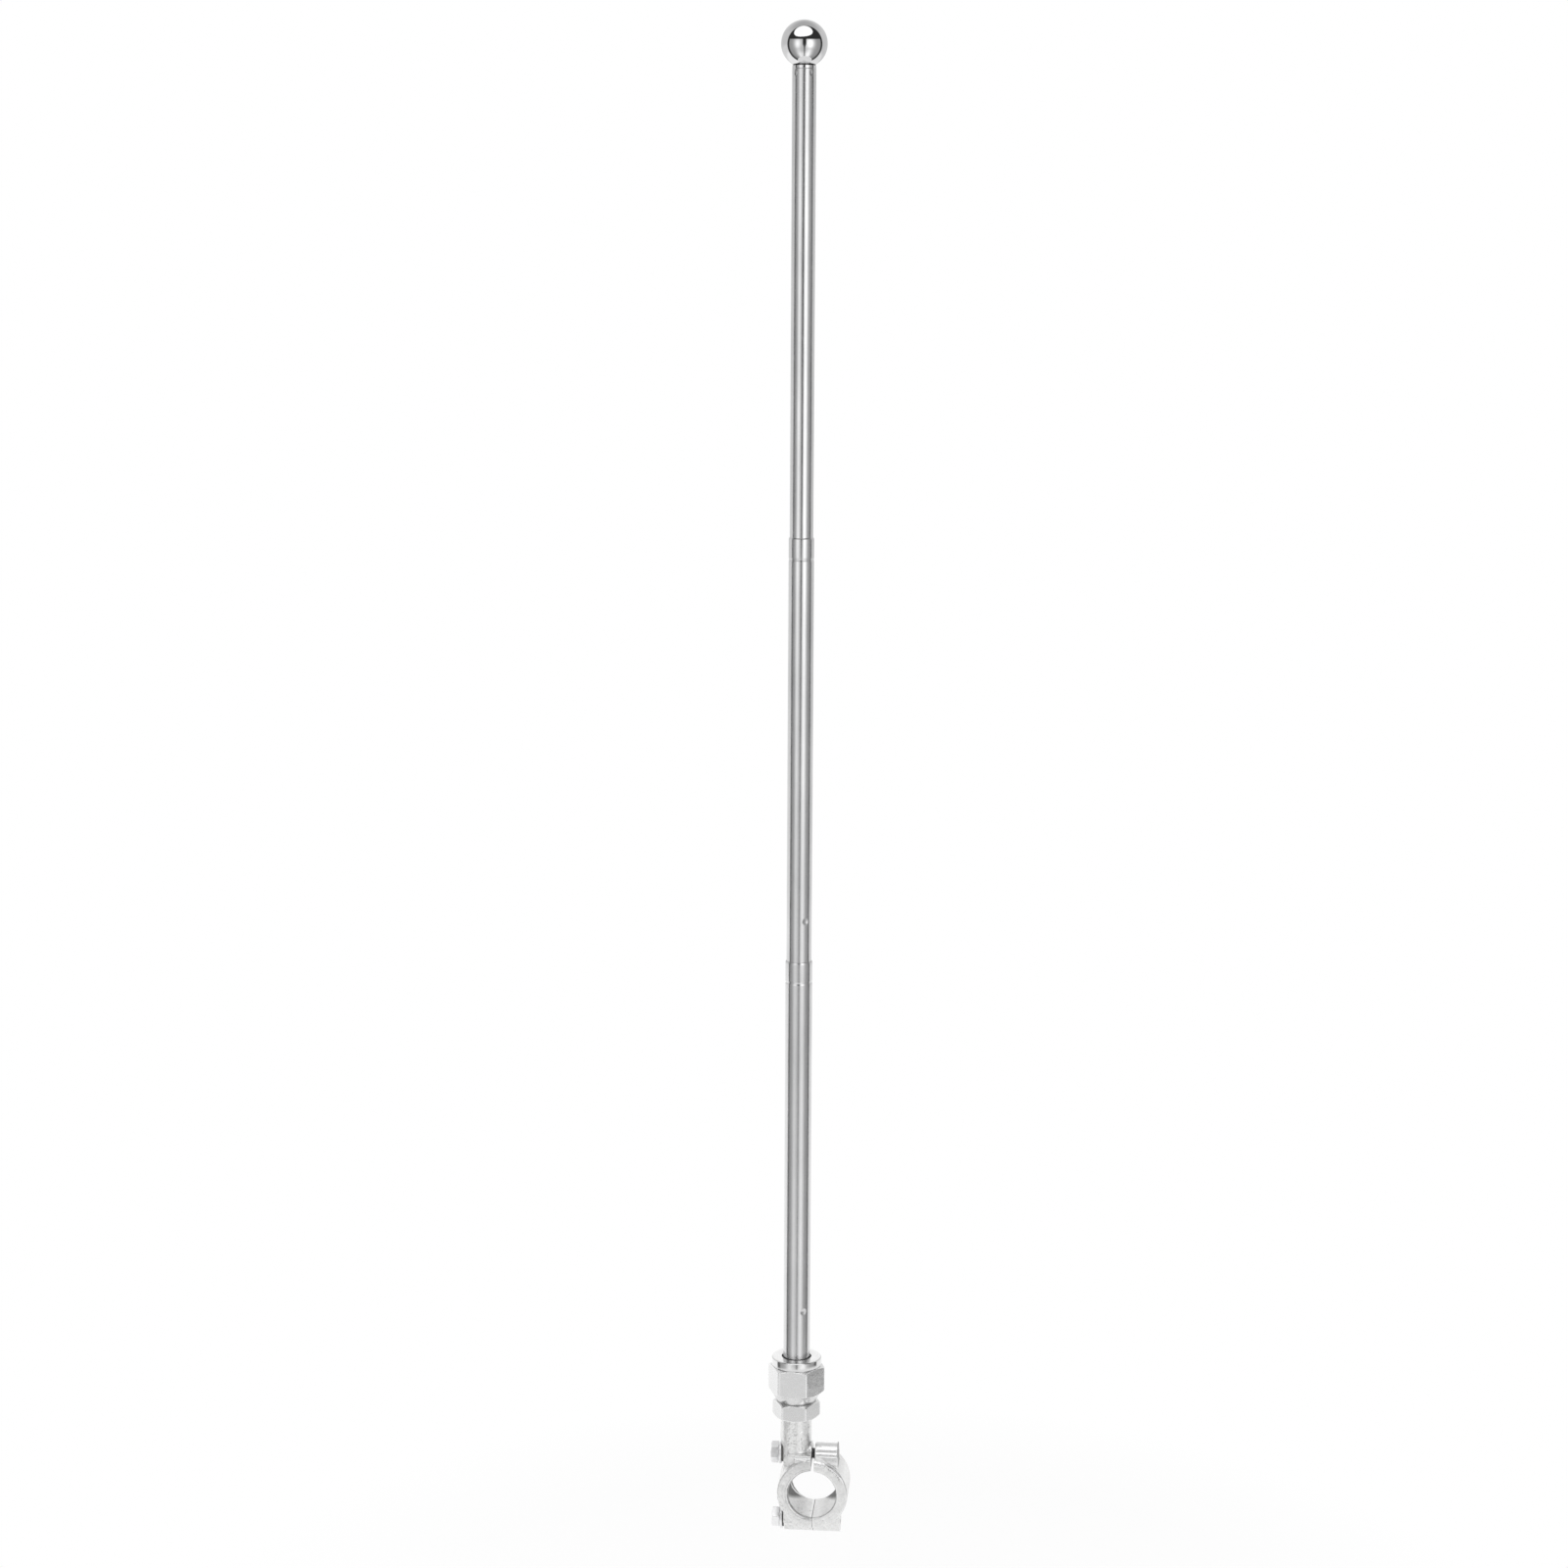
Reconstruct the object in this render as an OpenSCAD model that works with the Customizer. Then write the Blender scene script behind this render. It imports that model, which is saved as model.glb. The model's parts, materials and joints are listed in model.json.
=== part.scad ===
// Telescopic flagpole with a two-piece rail clamp.
// Origin at the centre of the rail bore: X across the clamp, Y along the rail, Z up the pole.

/* [Rail clamp] */
// Diameter of the rail that the clamp grips
rail_d = 25.4; // [20:0.1:32]
// Wall of the clamp ring
ring_wall = 6; // [5:0.25:9]
// Width of the clamp along the rail
clamp_w = 25.5; // [20:0.5:40]
// Rounding of the ring's outer edges
ring_round = 1.2; // [0.5:0.1:2]
// Bevel at both mouths of the stub half's bore
stub_bevel = 1.6; // [0.4:0.1:2]
// Bevel at both mouths of the loose half's bore
loose_bevel = 0.5; // [0.2:0.1:2]
// Gap between the two halves above the rail
parting_gap = 1.7; // [0.8:0.1:3]

/* [Clamp bolts] */
// Shank diameter of the clamp bolts
bolt_d = 6; // [5:0.5:8]
// Shank length under the head
bolt_l = 30; // [26:1:34]
// Width across the flats of the head
bolt_af = 10; // [8:0.5:13]
// Height of the hexagon of the head
bolt_head_h = 4; // [3:0.1:6]
// Thickness of the round face under the head
head_face_h = 0.5; // [0.2:0.1:1]
// Step from the flats in to that face
head_face_step = 0.5; // [0.2:0.1:1.5]
// Turn of the upper bolt's head from corners up
upper_turn = -23; // [-30:1:30]
// Turn of the lower bolt's head from corners up
lower_turn = 8; // [-30:1:30]
// Metal between the rail bore and the bolt's axis
bolt_land = 5.4; // [4.8:0.1:9]
// Outer diameter of the flat washers
flat_washer_d = 12; // [11:0.5:14]
// Thickness of the flat washers
flat_washer_t = 1.2; // [0.6:0.1:2]
// Outer diameter of the spring washers
lock_washer_d = 10; // [9:0.5:12]
// Thickness of the spring washers
lock_washer_t = 1; // [0.6:0.1:2]
// Width of the slanted split in a spring washer
lock_split = 1; // [0.5:0.1:2]
// Slant of that split
lock_slant = 20; // [0:1:35]
// Diameter of the round bosses that the bolts run through
boss_d = 13; // [12:0.25:15]
// Reach of the loose half's upper boss from the parting plane
upper_boss_l = 13; // [9:0.5:16]
// Reach of the stub half's lower lug from the parting plane
lower_lug_l = 15.4; // [10:0.1:17]
// Reach of the loose half's lower lug from the parting plane
loose_lug_l = 14.4; // [10:0.1:16]
// Width along the rail of the feet that the lugs and the stub stand on
foot_w = 19.2; // [16:0.2:22]
// Height over which a lug's foot widens
lug_flare_h = 1.4; // [0.5:0.1:3]
// Radial clearance of a bolt in the half that its head bears on
bolt_clear = 0.2; // [0.1:0.05:0.5]

/* [Stub] */
// Distance of the pole's axis from the parting plane
pole_offset = 9.6; // [9:0.1:11]
// Height of the bare stub above the clamp ring
stub_rise = 20.4; // [16:0.2:30]
// Diameter of the threaded end
thread_d = 16; // [14:0.5:18]
// Step from the thread out to the cast stub
stub_step = 0.25; // [0.1:0.05:0.6]
// Radial clearance between a thread and its nut
thread_clear = 0.05; // [0.02:0.01:0.1]
// Length of thread inside the coupling
thread_reach = 10; // [6:0.5:10.5]
// Depth of the flat that the upper bolt's washer sits on
spot_depth = 1.8; // [1:0.05:2.4]
// Reach of the stub's squared foot from the pole's axis, away from the parting plane
foot_reach = 3.6; // [2:0.1:5]
// Height of that foot above the clamp ring
foot_rise = 1; // [0.4:0.1:2]
// Bevel along the top of that foot
foot_bevel = 1.4; // [0.5:0.1:3]
// Bevel round the stub's upper edge
stub_edge = 0.6; // [0.2:0.1:1]

/* [Jam nut] */
// Width across the flats
jam_af = 22.2; // [21:0.1:27]
// Height
jam_h = 8.7; // [6:0.1:12]
// Turn about the pole
jam_turn = -2; // [-30:1:30]

/* [Coupling] */
// Width across the flats
coupling_af = 26.4; // [25:0.2:32]
// Height of the hexagon
hex_h = 14.8; // [10:0.2:20]
// Diameter of the round collar above the hexagon
collar_d = 26.2; // [22:0.2:26.4]
// Height of the collar
collar_h = 4.5; // [3:0.1:8]
// Height and depth of the fine step round the collar
collar_step = 0.4; // [0.2:0.05:0.8]
// Height of the turned taper below the hexagon
taper_h = 4.8; // [3:0.1:8]
// Diameter at the foot of the taper
taper_d = 20.8; // [19:0.1:22]
// Depth of the threaded socket
socket_depth = 11; // [10.8:0.1:13]
// Thickness of the web between the socket and the pole seat
coupling_web = 2; // [1:0.1:4]
// Radial clearance of the pole in its seat
seat_clear = 0.05; // [0.02:0.01:0.1]
// Radial relief at the mouth of the pole seat
seat_relief = 0.75; // [0.3:0.05:1.5]
// Depth of that relief
seat_relief_depth = 1.4; // [0.6:0.1:3]
// Turn about the pole
coupling_turn = -5; // [-30:1:30]

/* [Pole] */
// Outer diameter of the upper tube
upper_d = 12; // [10:0.1:14]
// Wall of all three tubes
tube_wall = 0.3; // [0.2:0.02:0.5]
// Radial gap between one tube and the next
tube_gap = 0.2; // [0.14:0.02:0.4]
// Radial running clearance at a rolled mouth, a groove and a flared foot
slide_clear = 0.05; // [0.02:0.01:0.1]
// Length of lower tube between the collar and its mouth
lower_show = 213.3; // [150:0.1:300]
// Length of middle tube between the lower mouth and its own
middle_show = 218; // [150:0.1:300]
// Length of upper tube between the middle mouth and the finial
upper_show = 230; // [150:0.1:300]
// Height over which a mouth is rolled in
mouth_h = 0.9; // [0.5:0.1:2]
// Distance of the rolled groove below its mouth
groove_drop = 11; // [6:0.5:16]
// Width of the rolled groove
groove_w = 1.6; // [1:0.1:3]
// Length of the flared foot that the groove keeps from pulling out
foot_l = 8; // [4:0.5:14]
// Length over which the foot flares
flare_h = 1.5; // [1:0.1:3]
// Room between a foot and the groove above it with the pole drawn out
foot_room = 0.4; // [0.2:0.1:2]

/* [Punched dimples] */
// Half width of a dimple at the surface
dimple_half = 1.25; // [0.6:0.05:1.6]
// Depth of a dimple
dimple_depth = 0.5; // [0.3:0.05:0.7]
// Height of the lower tube's stop dimple above the collar
lower_stop_rise = 26.5; // [15:0.5:60]
// Height of the middle tube's stop dimple above the lower mouth
middle_stop_rise = 22; // [15:0.5:60]
// Bearing of the stop dimples, from straight at the viewer towards +X
stop_bearing = 35; // [-90:1:90]
// Distance of the staking dimples below the top of the upper tube
stake_drop = 2.2; // [2:0.1:6]
// Bearing of the staking dimples to either side of the viewer and of the far side
stake_bearing = 39; // [20:1:70]

/* [Finial] */
// Diameter of the ball
ball_d = 23.2; // [16:0.2:32]
// Wall of the hollow ball
ball_wall = 1.2; // [0.8:0.1:3]
// Height of the shoulder between ball and tube
shoulder_h = 1.8; // [1:0.1:4]
// Undercut of the crease where the ball meets its shoulder
crease_in = 0.4; // [0.1:0.1:1]
// Length of the spigot inside the tube
spigot_l = 14; // [8:0.5:24]
// Wall of the hollow spigot at its staking groove
spigot_wall = 1.6; // [0.8:0.1:2.5]

/* [Hidden] */
$fn = 64;
hex_sides = 6;
roll_steps = 6;
hex_chamfer = 30;
cut_over = 1;

rail_r = rail_d / 2;
ring_r = rail_r + ring_wall;
clamp_half_w = clamp_w / 2;
half_gap = parting_gap / 2;
boss_r = boss_d / 2;
bolt_r = bolt_d / 2;
bolt_z = rail_r + bolt_land;
cut_reach = 2 * (ring_r + boss_d + lower_lug_l);
foot_half = foot_w / 2;
foot_low = rail_r / 2;

thread_r = thread_d / 2;
stub_r = thread_r + stub_step;
stub_top = ring_r + stub_rise;
upper_seat_x = -(pole_offset + stub_r - spot_depth);
lower_seat_x = -lower_lug_l;
spot_r = flat_washer_d / 2 + cut_over;
bolt_stack = lock_washer_t + flat_washer_t;

coupling_z = stub_top + jam_h;
seat_z = coupling_z + socket_depth + coupling_web;
collar_z = coupling_z + taper_h + hex_h;
collar_top = collar_z + collar_h;

middle_d = upper_d + 2 * (tube_wall + tube_gap);
lower_d = middle_d + 2 * (tube_wall + tube_gap);
roll_in = tube_gap - slide_clear;
overlap = groove_drop + groove_w / 2 + foot_room + flare_h + foot_l;
lower_mouth = collar_top + lower_show;
middle_mouth = lower_mouth + middle_show;
upper_top = middle_mouth + upper_show;
dimple_r = (pow(dimple_half, 2) + pow(dimple_depth, 2)) / (2 * dimple_depth);

ball_r = ball_d / 2;
shoulder_r = upper_d / 2;
crease_r = shoulder_r - crease_in;
shoulder_top = upper_top + shoulder_h;
ball_z = shoulder_top + sqrt(pow(ball_r, 2) - pow(crease_r, 2));
spigot_r = upper_d / 2 - tube_wall - seat_clear;
stake_groove_r = upper_d / 2 - tube_wall - dimple_depth - seat_clear;
spigot_bore_r = stake_groove_r - spigot_wall;

// A cylinder along X from x0 to x1, at height z
module bar_x(x0, x1, z, r) {
    translate([x0, 0, z])
        rotate([0, 90, 0])
            cylinder(r = r, h = x1 - x0);
}

// A hexagonal prism along Z with its corners turned off at the ends asked for
module hex_nut(af, h, bottom = true, top = true) {
    corner = af / 2 / cos(180 / hex_sides);
    land = af / 2 - cut_over / 4;
    drop = (corner - land) * tan(hex_chamfer);
    intersection() {
        cylinder(r = corner, h = h, $fn = hex_sides);
        rotate_extrude()
            polygon([
                [0, 0],
                [bottom ? land : corner, 0],
                [corner, bottom ? drop : 0],
                [corner, top ? h - drop : h],
                [top ? land : corner, h],
                [0, h],
            ]);
    }
}

// Half of a disc section through the ring, with its outer corners rounded
module ring_section() {
    union() {
        translate([0, -clamp_half_w])
            square([ring_r - ring_round, clamp_w]);
        translate([0, ring_round - clamp_half_w])
            square([ring_r, clamp_w - 2 * ring_round]);
        for (side = [-1, 1])
            translate([ring_r - ring_round, side * (clamp_half_w - ring_round)])
                circle(r = ring_round);
    }
}

module ring_blank() {
    rotate([90, 0, 0])
        rotate_extrude()
            ring_section();
}

// Rail bore with a bevel at both mouths
module rail_bore(bevel) {
    mouth_r = rail_r + bevel;
    rotate([90, 0, 0])
        rotate_extrude()
            polygon([
                [0, -clamp_half_w - cut_over],
                [mouth_r, -clamp_half_w - cut_over],
                [mouth_r, -clamp_half_w],
                [rail_r, bevel - clamp_half_w],
                [rail_r, clamp_half_w - bevel],
                [mouth_r, clamp_half_w],
                [mouth_r, clamp_half_w + cut_over],
                [0, clamp_half_w + cut_over],
            ]);
}

// Extrudes an outline drawn along the rail and upwards from x0 to x1
module along_x(x0, x1) {
    translate([x0, 0, 0])
        rotate([90, 0, 90])
            linear_extrude(height = x1 - x0)
                children();
}

// Round lug from x0 to x1 on a bolt's axis, with a foot that widens to the ring
module bolt_lug(x0, x1, up) {
    flare_rise = lug_flare_h / 2;
    neck = sqrt(pow(boss_r, 2) - pow(flare_rise, 2));
    bar_x(x0, x1, up * bolt_z, boss_r);
    along_x(x0, x1)
        mirror([0, up > 0 ? 0 : 1])
            polygon([
                [-foot_half, foot_low],
                [foot_half, foot_low],
                [foot_half, bolt_z - flare_rise],
                [neck, bolt_z + flare_rise],
                [-neck, bolt_z + flare_rise],
                [-foot_half, bolt_z - flare_rise],
            ]);
}

// What is cut away on the far side of a half's parting face: closed below the rail, open above it
module parting_cut(side) {
    mirror([side > 0 ? 0 : 1, 0, 0]) {
        translate([-cut_reach, -cut_reach, -cut_reach])
            cube([cut_reach, 2 * cut_reach, 2 * cut_reach]);
        translate([-cut_reach, -cut_reach, 0])
            cube([cut_reach + half_gap, 2 * cut_reach, cut_reach]);
    }
}

// Shelf, squared foot, round stub and threaded end, with a flat down one side for the upper bolt
module stub() {
    foot_top = ring_r + foot_rise;
    foot_land = foot_half - foot_bevel;
    difference() {
        union() {
            translate([-pole_offset, -clamp_half_w + ring_round, 0])
                cube([pole_offset, clamp_w - 2 * ring_round, ring_r]);
            along_x(-pole_offset - foot_reach, 0)
                polygon([
                    [-foot_half, foot_low],
                    [foot_half, foot_low],
                    [foot_half, foot_top],
                    [foot_land, foot_top + foot_bevel],
                    [-foot_land, foot_top + foot_bevel],
                    [-foot_half, foot_top],
                ]);
            bar_x(-pole_offset, 0, bolt_z, boss_r);
            translate([-pole_offset, 0, 0]) {
                cylinder(r = stub_r, h = stub_top - stub_edge);
                translate([0, 0, stub_top - stub_edge])
                    cylinder(r1 = stub_r, r2 = thread_r, h = stub_edge);
                cylinder(r = thread_r, h = coupling_z + thread_reach);
            }
        }
        bar_x(-cut_reach, upper_seat_x, bolt_z, spot_r);
        translate([-cut_reach, -spot_r, 0])
            cube([cut_reach + upper_seat_x, 2 * spot_r, bolt_z]);
    }
}

module clamp_stub_half() {
    color("silver")
        difference() {
            union() {
                ring_blank();
                bolt_lug(lower_seat_x, 0, -1);
                stub();
            }
            rail_bore(stub_bevel);
            parting_cut(-1);
            for (up = [-1, 1])
                bar_x(-cut_reach, cut_over, up * bolt_z, bolt_r + bolt_clear);
        }
}

module clamp_loose_half() {
    color("silver")
        difference() {
            union() {
                ring_blank();
                bolt_lug(0, loose_lug_l, -1);
                bolt_lug(0, upper_boss_l, 1);
            }
            rail_bore(loose_bevel);
            parting_cut(1);
            for (up = [-1, 1])
                bar_x(-cut_over, cut_reach, up * bolt_z, bolt_r + thread_clear);
        }
}

// Hex-head bolt along +X, the face under its head bearing at x = 0
module hex_bolt(turn) {
    bar_x(0, bolt_l, 0, bolt_r);
    bar_x(-head_face_h, 0, 0, bolt_af / 2 - head_face_step);
    rotate([0, 90, 0])
        rotate([0, 0, turn])
            translate([0, 0, -head_face_h - bolt_head_h])
                hex_nut(bolt_af, bolt_head_h, bottom = true, top = false);
}

// Flat ring along X from x = 0
module flat_washer() {
    difference() {
        bar_x(0, flat_washer_t, 0, flat_washer_d / 2);
        bar_x(-cut_over, flat_washer_t + cut_over, 0, bolt_r + bolt_clear);
    }
}

// Spring washer along X from x = 0, its split on the far side of the bolt
module lock_washer() {
    slot = 2 * lock_washer_t;
    difference() {
        bar_x(0, lock_washer_t, 0, lock_washer_d / 2);
        bar_x(-cut_over, lock_washer_t + cut_over, 0, bolt_r + bolt_clear);
        translate([lock_washer_t / 2, lock_washer_d / 2, 0])
            rotate([0, lock_slant, 0])
                cube([2 * slot, lock_washer_d, lock_split], center = true);
    }
}

module upper_bolt() {
    color("lightgray")
        translate([upper_seat_x - bolt_stack, 0, bolt_z])
            hex_bolt(upper_turn);
}

module upper_flat_washer() {
    color("lightgray")
        translate([upper_seat_x - bolt_stack, 0, bolt_z])
            flat_washer();
}

module upper_lock_washer() {
    color("dimgray")
        translate([upper_seat_x - lock_washer_t, 0, bolt_z])
            lock_washer();
}

module lower_bolt() {
    color("lightgray")
        translate([lower_seat_x - bolt_stack, 0, -bolt_z])
            hex_bolt(lower_turn);
}

module lower_flat_washer() {
    color("lightgray")
        translate([lower_seat_x - bolt_stack, 0, -bolt_z])
            flat_washer();
}

module lower_lock_washer() {
    color("dimgray")
        translate([lower_seat_x - lock_washer_t, 0, -bolt_z])
            lock_washer();
}

module jam_nut() {
    color("lightgray")
        translate([-pole_offset, 0, stub_top])
            difference() {
                rotate([0, 0, jam_turn])
                    hex_nut(jam_af, jam_h);
                translate([0, 0, -cut_over])
                    cylinder(r = thread_r + thread_clear, h = jam_h + 2 * cut_over);
            }
}

// Hexagon between a stepped collar and a turned taper, bored from both ends
module pole_coupling() {
    collar_r = collar_d / 2;
    color("lightgray")
        translate([-pole_offset, 0, 0])
            difference() {
                union() {
                    translate([0, 0, coupling_z])
                        cylinder(r1 = taper_d / 2, r2 = coupling_af / 2, h = taper_h);
                    translate([0, 0, coupling_z + taper_h])
                        rotate([0, 0, coupling_turn])
                            hex_nut(coupling_af, hex_h);
                    translate([0, 0, collar_z])
                        cylinder(r = collar_r - collar_step, h = collar_h);
                    translate([0, 0, collar_z + collar_step])
                        cylinder(r = collar_r, h = collar_h - 2 * collar_step);
                    translate([0, 0, collar_top - collar_step])
                        cylinder(r1 = collar_r, r2 = collar_r - collar_step, h = collar_step);
                }
                translate([0, 0, coupling_z - cut_over])
                    cylinder(r = thread_r + thread_clear, h = socket_depth + cut_over);
                translate([0, 0, seat_z])
                    cylinder(r = lower_d / 2 + seat_clear, h = collar_top - seat_z + cut_over);
                translate([0, 0, collar_top - seat_relief_depth])
                    cylinder(r = lower_d / 2 + seat_relief, h = seat_relief_depth + cut_over);
            }
}

// Smooth step from 0 to 1
function ease(t) = (1 - cos(180 * t)) / 2;

// Outer outline of a tube, foot first: flared foot, wall, rolled groove and rolled mouth, as asked for
function tube_outline(r, foot, mouth, flared, rolled) = concat(
    flared
        ? concat([[r + roll_in, foot]],
                 [for (i = [0:roll_steps]) [r + roll_in * (1 - ease(i / roll_steps)),
                                            foot + foot_l + flare_h * i / roll_steps]])
        : [[r, foot]],
    rolled
        ? concat([for (i = [0:2 * roll_steps]) [r - roll_in * ease(i / roll_steps),
                                                mouth - groove_drop + groove_w * (i / roll_steps - 1) / 2]],
                 [for (i = [0:roll_steps]) [r - roll_in * (1 - cos(90 * i / roll_steps)),
                                            mouth - mouth_h * (1 - sin(90 * i / roll_steps))]])
        : [[r, mouth]]
);

// Thin tube of even wall along that outline
module rolled_tube(r, foot, mouth, flared, rolled) {
    skin = tube_outline(r, foot, mouth, flared, rolled);
    count = len(skin);
    lining = [for (i = [1:count]) skin[count - i] - [tube_wall, 0]];
    rotate_extrude()
        polygon(concat(skin, lining));
}

// Rolled tube with dimples punched into its wall, each a dent outside and a bump inside
module dimpled_tube(r, bearings, height) {
    difference() {
        union() {
            children();
            intersection() {
                for (bearing = bearings)
                    dimple_ball(r, bearing, height, dimple_r + tube_wall);
                translate([0, 0, height - dimple_r - tube_wall])
                    cylinder(r = r - tube_wall / 2, h = 2 * (dimple_r + tube_wall));
            }
        }
        for (bearing = bearings)
            dimple_ball(r, bearing, height, dimple_r);
    }
}

module dimple_ball(r, bearing, height, ball) {
    rotate([0, 0, bearing - 90])
        translate([r + dimple_r - dimple_depth, 0, height])
            sphere(r = ball);
}

module lower_tube() {
    color("gainsboro")
        translate([-pole_offset, 0, 0])
            dimpled_tube(lower_d / 2, [stop_bearing], collar_top + lower_stop_rise)
                rolled_tube(lower_d / 2, seat_z, lower_mouth, false, true);
}

module middle_tube() {
    color("gainsboro")
        translate([-pole_offset, 0, 0])
            dimpled_tube(middle_d / 2, [stop_bearing], lower_mouth + middle_stop_rise)
                rolled_tube(middle_d / 2, lower_mouth - overlap, middle_mouth, true, true);
}

module upper_tube() {
    color("whitesmoke")
        translate([-pole_offset, 0, 0])
            dimpled_tube(
                upper_d / 2,
                [for (far = [0, 180], side = [-1, 1]) far + side * stake_bearing],
                upper_top - stake_drop
            )
                rolled_tube(upper_d / 2, middle_mouth - overlap, upper_top, true, false);
}

// Hollow ball on a shoulder, with a tubular spigot staked inside the tube
module ball_finial() {
    groove_half = dimple_half + seat_clear;
    color("whitesmoke")
        translate([-pole_offset, 0, 0])
            difference() {
                union() {
                    translate([0, 0, ball_z])
                        sphere(r = ball_r);
                    translate([0, 0, upper_top])
                        cylinder(r = shoulder_r, h = shoulder_h - crease_in);
                    translate([0, 0, shoulder_top - crease_in])
                        cylinder(r1 = shoulder_r, r2 = crease_r, h = crease_in);
                    translate([0, 0, upper_top - spigot_l])
                        cylinder(r = spigot_r, h = spigot_l);
                }
                translate([0, 0, ball_z])
                    sphere(r = ball_r - ball_wall);
                translate([0, 0, upper_top - spigot_l - cut_over])
                    cylinder(r = spigot_bore_r, h = ball_z - upper_top + spigot_l + cut_over);
                translate([0, 0, upper_top - stake_drop - groove_half])
                    difference() {
                        cylinder(r = spigot_r + cut_over, h = 2 * groove_half);
                        cylinder(r = stake_groove_r, h = 2 * groove_half);
                    }
            }
}

clamp_stub_half();
clamp_loose_half();
upper_bolt();
upper_lock_washer();
upper_flat_washer();
lower_bolt();
lower_lock_washer();
lower_flat_washer();
jam_nut();
pole_coupling();
lower_tube();
middle_tube();
upper_tube();
ball_finial();
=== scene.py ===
import bpy
import bmesh
import json
import math
import numpy as np
from mathutils import Matrix, Vector, noise


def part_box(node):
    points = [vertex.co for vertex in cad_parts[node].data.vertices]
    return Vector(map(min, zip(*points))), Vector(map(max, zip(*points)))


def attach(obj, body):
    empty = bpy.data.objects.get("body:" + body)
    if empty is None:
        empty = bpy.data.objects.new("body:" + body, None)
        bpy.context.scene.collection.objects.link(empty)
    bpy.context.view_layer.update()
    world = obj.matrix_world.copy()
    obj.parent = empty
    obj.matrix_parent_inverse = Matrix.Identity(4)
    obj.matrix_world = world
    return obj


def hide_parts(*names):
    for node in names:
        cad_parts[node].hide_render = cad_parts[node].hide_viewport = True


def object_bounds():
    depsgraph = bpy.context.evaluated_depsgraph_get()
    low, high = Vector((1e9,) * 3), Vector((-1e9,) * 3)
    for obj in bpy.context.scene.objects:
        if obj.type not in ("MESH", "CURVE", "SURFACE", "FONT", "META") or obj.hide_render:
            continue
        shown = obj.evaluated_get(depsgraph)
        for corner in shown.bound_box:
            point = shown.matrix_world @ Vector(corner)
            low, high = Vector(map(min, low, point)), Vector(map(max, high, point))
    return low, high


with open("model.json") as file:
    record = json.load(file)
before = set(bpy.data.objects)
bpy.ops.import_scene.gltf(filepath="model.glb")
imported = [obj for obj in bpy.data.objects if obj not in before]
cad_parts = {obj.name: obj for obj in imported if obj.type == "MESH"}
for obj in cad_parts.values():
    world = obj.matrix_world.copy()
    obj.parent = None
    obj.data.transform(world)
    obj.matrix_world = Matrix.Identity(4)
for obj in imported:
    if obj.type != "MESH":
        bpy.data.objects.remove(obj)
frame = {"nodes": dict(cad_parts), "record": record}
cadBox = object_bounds()
mm = 0.001
scene = bpy.context.scene
scene.view_settings.view_transform = "Standard"
print("frame loaded,", len(frame["nodes"]), "nodes")


def nodeBox(node):
    low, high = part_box(node)
    return np.array(low) / mm, np.array(high) / mm  # corners in millimetres


# the places that every piece shares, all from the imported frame
lowerLow, lowerHigh = nodeBox("lower_tube")
middleLow, middleHigh = nodeBox("middle_tube")
upperLow, upperHigh = nodeBox("upper_tube")
ballLow, ballHigh = nodeBox("ball_finial")
poleX = (lowerLow[0] + lowerHigh[0]) / 2
onPole = Matrix.Translation((poleX, 0, 0))


# mesh helpers: profiles are rows of points, with one column for each angle round the axis

roundMost = 0.45  # the most of a side that a rounded corner takes
tiny = 1e-6       # nearer to the axis than this counts as on it


def soften(radii, heights, size, steps, loop=False):
    # rounds a profile's corners
    path = np.stack([radii, heights], axis=-1)
    count = len(path)
    out = []
    for i in range(count):
        here = path[i]
        if not loop and i in (0, count - 1):
            out.append(here)
            continue
        back, ahead = path[i - 1] - here, path[(i + 1) % count] - here
        backLong = np.linalg.norm(back, axis=-1, keepdims=True)
        aheadLong = np.linalg.norm(ahead, axis=-1, keepdims=True)
        reach = np.minimum(size, roundMost * np.minimum(backLong, aheadLong))
        start, end = here + back / backLong * reach, here + ahead / aheadLong * reach
        for t in np.linspace(0, 1, steps):
            out.append((1 - t) ** 2 * start + 2 * t * (1 - t) * here + t * t * end)
    out = np.array(out)
    return out[..., 0], out[..., 1]


def spread(corners, columns):
    # each corner is a radius and a height, either of them one number or one for each angle
    radii = np.array([np.broadcast_to(r, columns) for r, z in corners], dtype=float)
    heights = np.array([np.broadcast_to(z, columns) for r, z in corners], dtype=float)
    return radii, heights


def spin(radii, heights, angles):
    # a row on the axis becomes one point, and a profile that starts off the axis is a closed loop
    rows, columns = radii.shape
    onAxis = radii.max(axis=1) < tiny
    points, index = [], []
    for r, z, single in zip(radii, heights, onAxis):
        if single:
            index.append([len(points)] * columns)
            points.append((0.0, 0.0, z[0]))
        else:
            index.append(list(range(len(points), len(points) + columns)))
            points.extend(zip(r * np.cos(angles), r * np.sin(angles), z))
    faces = []
    for i in range(rows - 1 if onAxis[0] else rows):
        a, b = index[i], index[(i + 1) % rows]
        if onAxis[i] and onAxis[(i + 1) % rows]:
            continue  # nothing to join
        for j in range(columns):
            k = (j + 1) % columns
            faces.append(list(dict.fromkeys([a[j], a[k], b[k], b[j]])))
    return points, faces


def ringFaces(rows, columns):
    # joins rows of points, each row closed on itself
    faces = []
    for i in range(rows - 1):
        a, b = i * columns, (i + 1) * columns
        for j in range(columns):
            k = (j + 1) % columns
            faces.append([a + j, a + k, b + k, b + j])
    return faces


def evenAngles(count):
    return np.arange(count) * 2 * math.pi / count


def cornerReach(flats, corner):
    # half the angle that a rounded corner of a hexagon takes up
    middle = (flats / 2 - corner) / math.cos(math.pi / 6)
    return math.atan2(corner / 2, middle + corner * math.cos(math.pi / 6))


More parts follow.
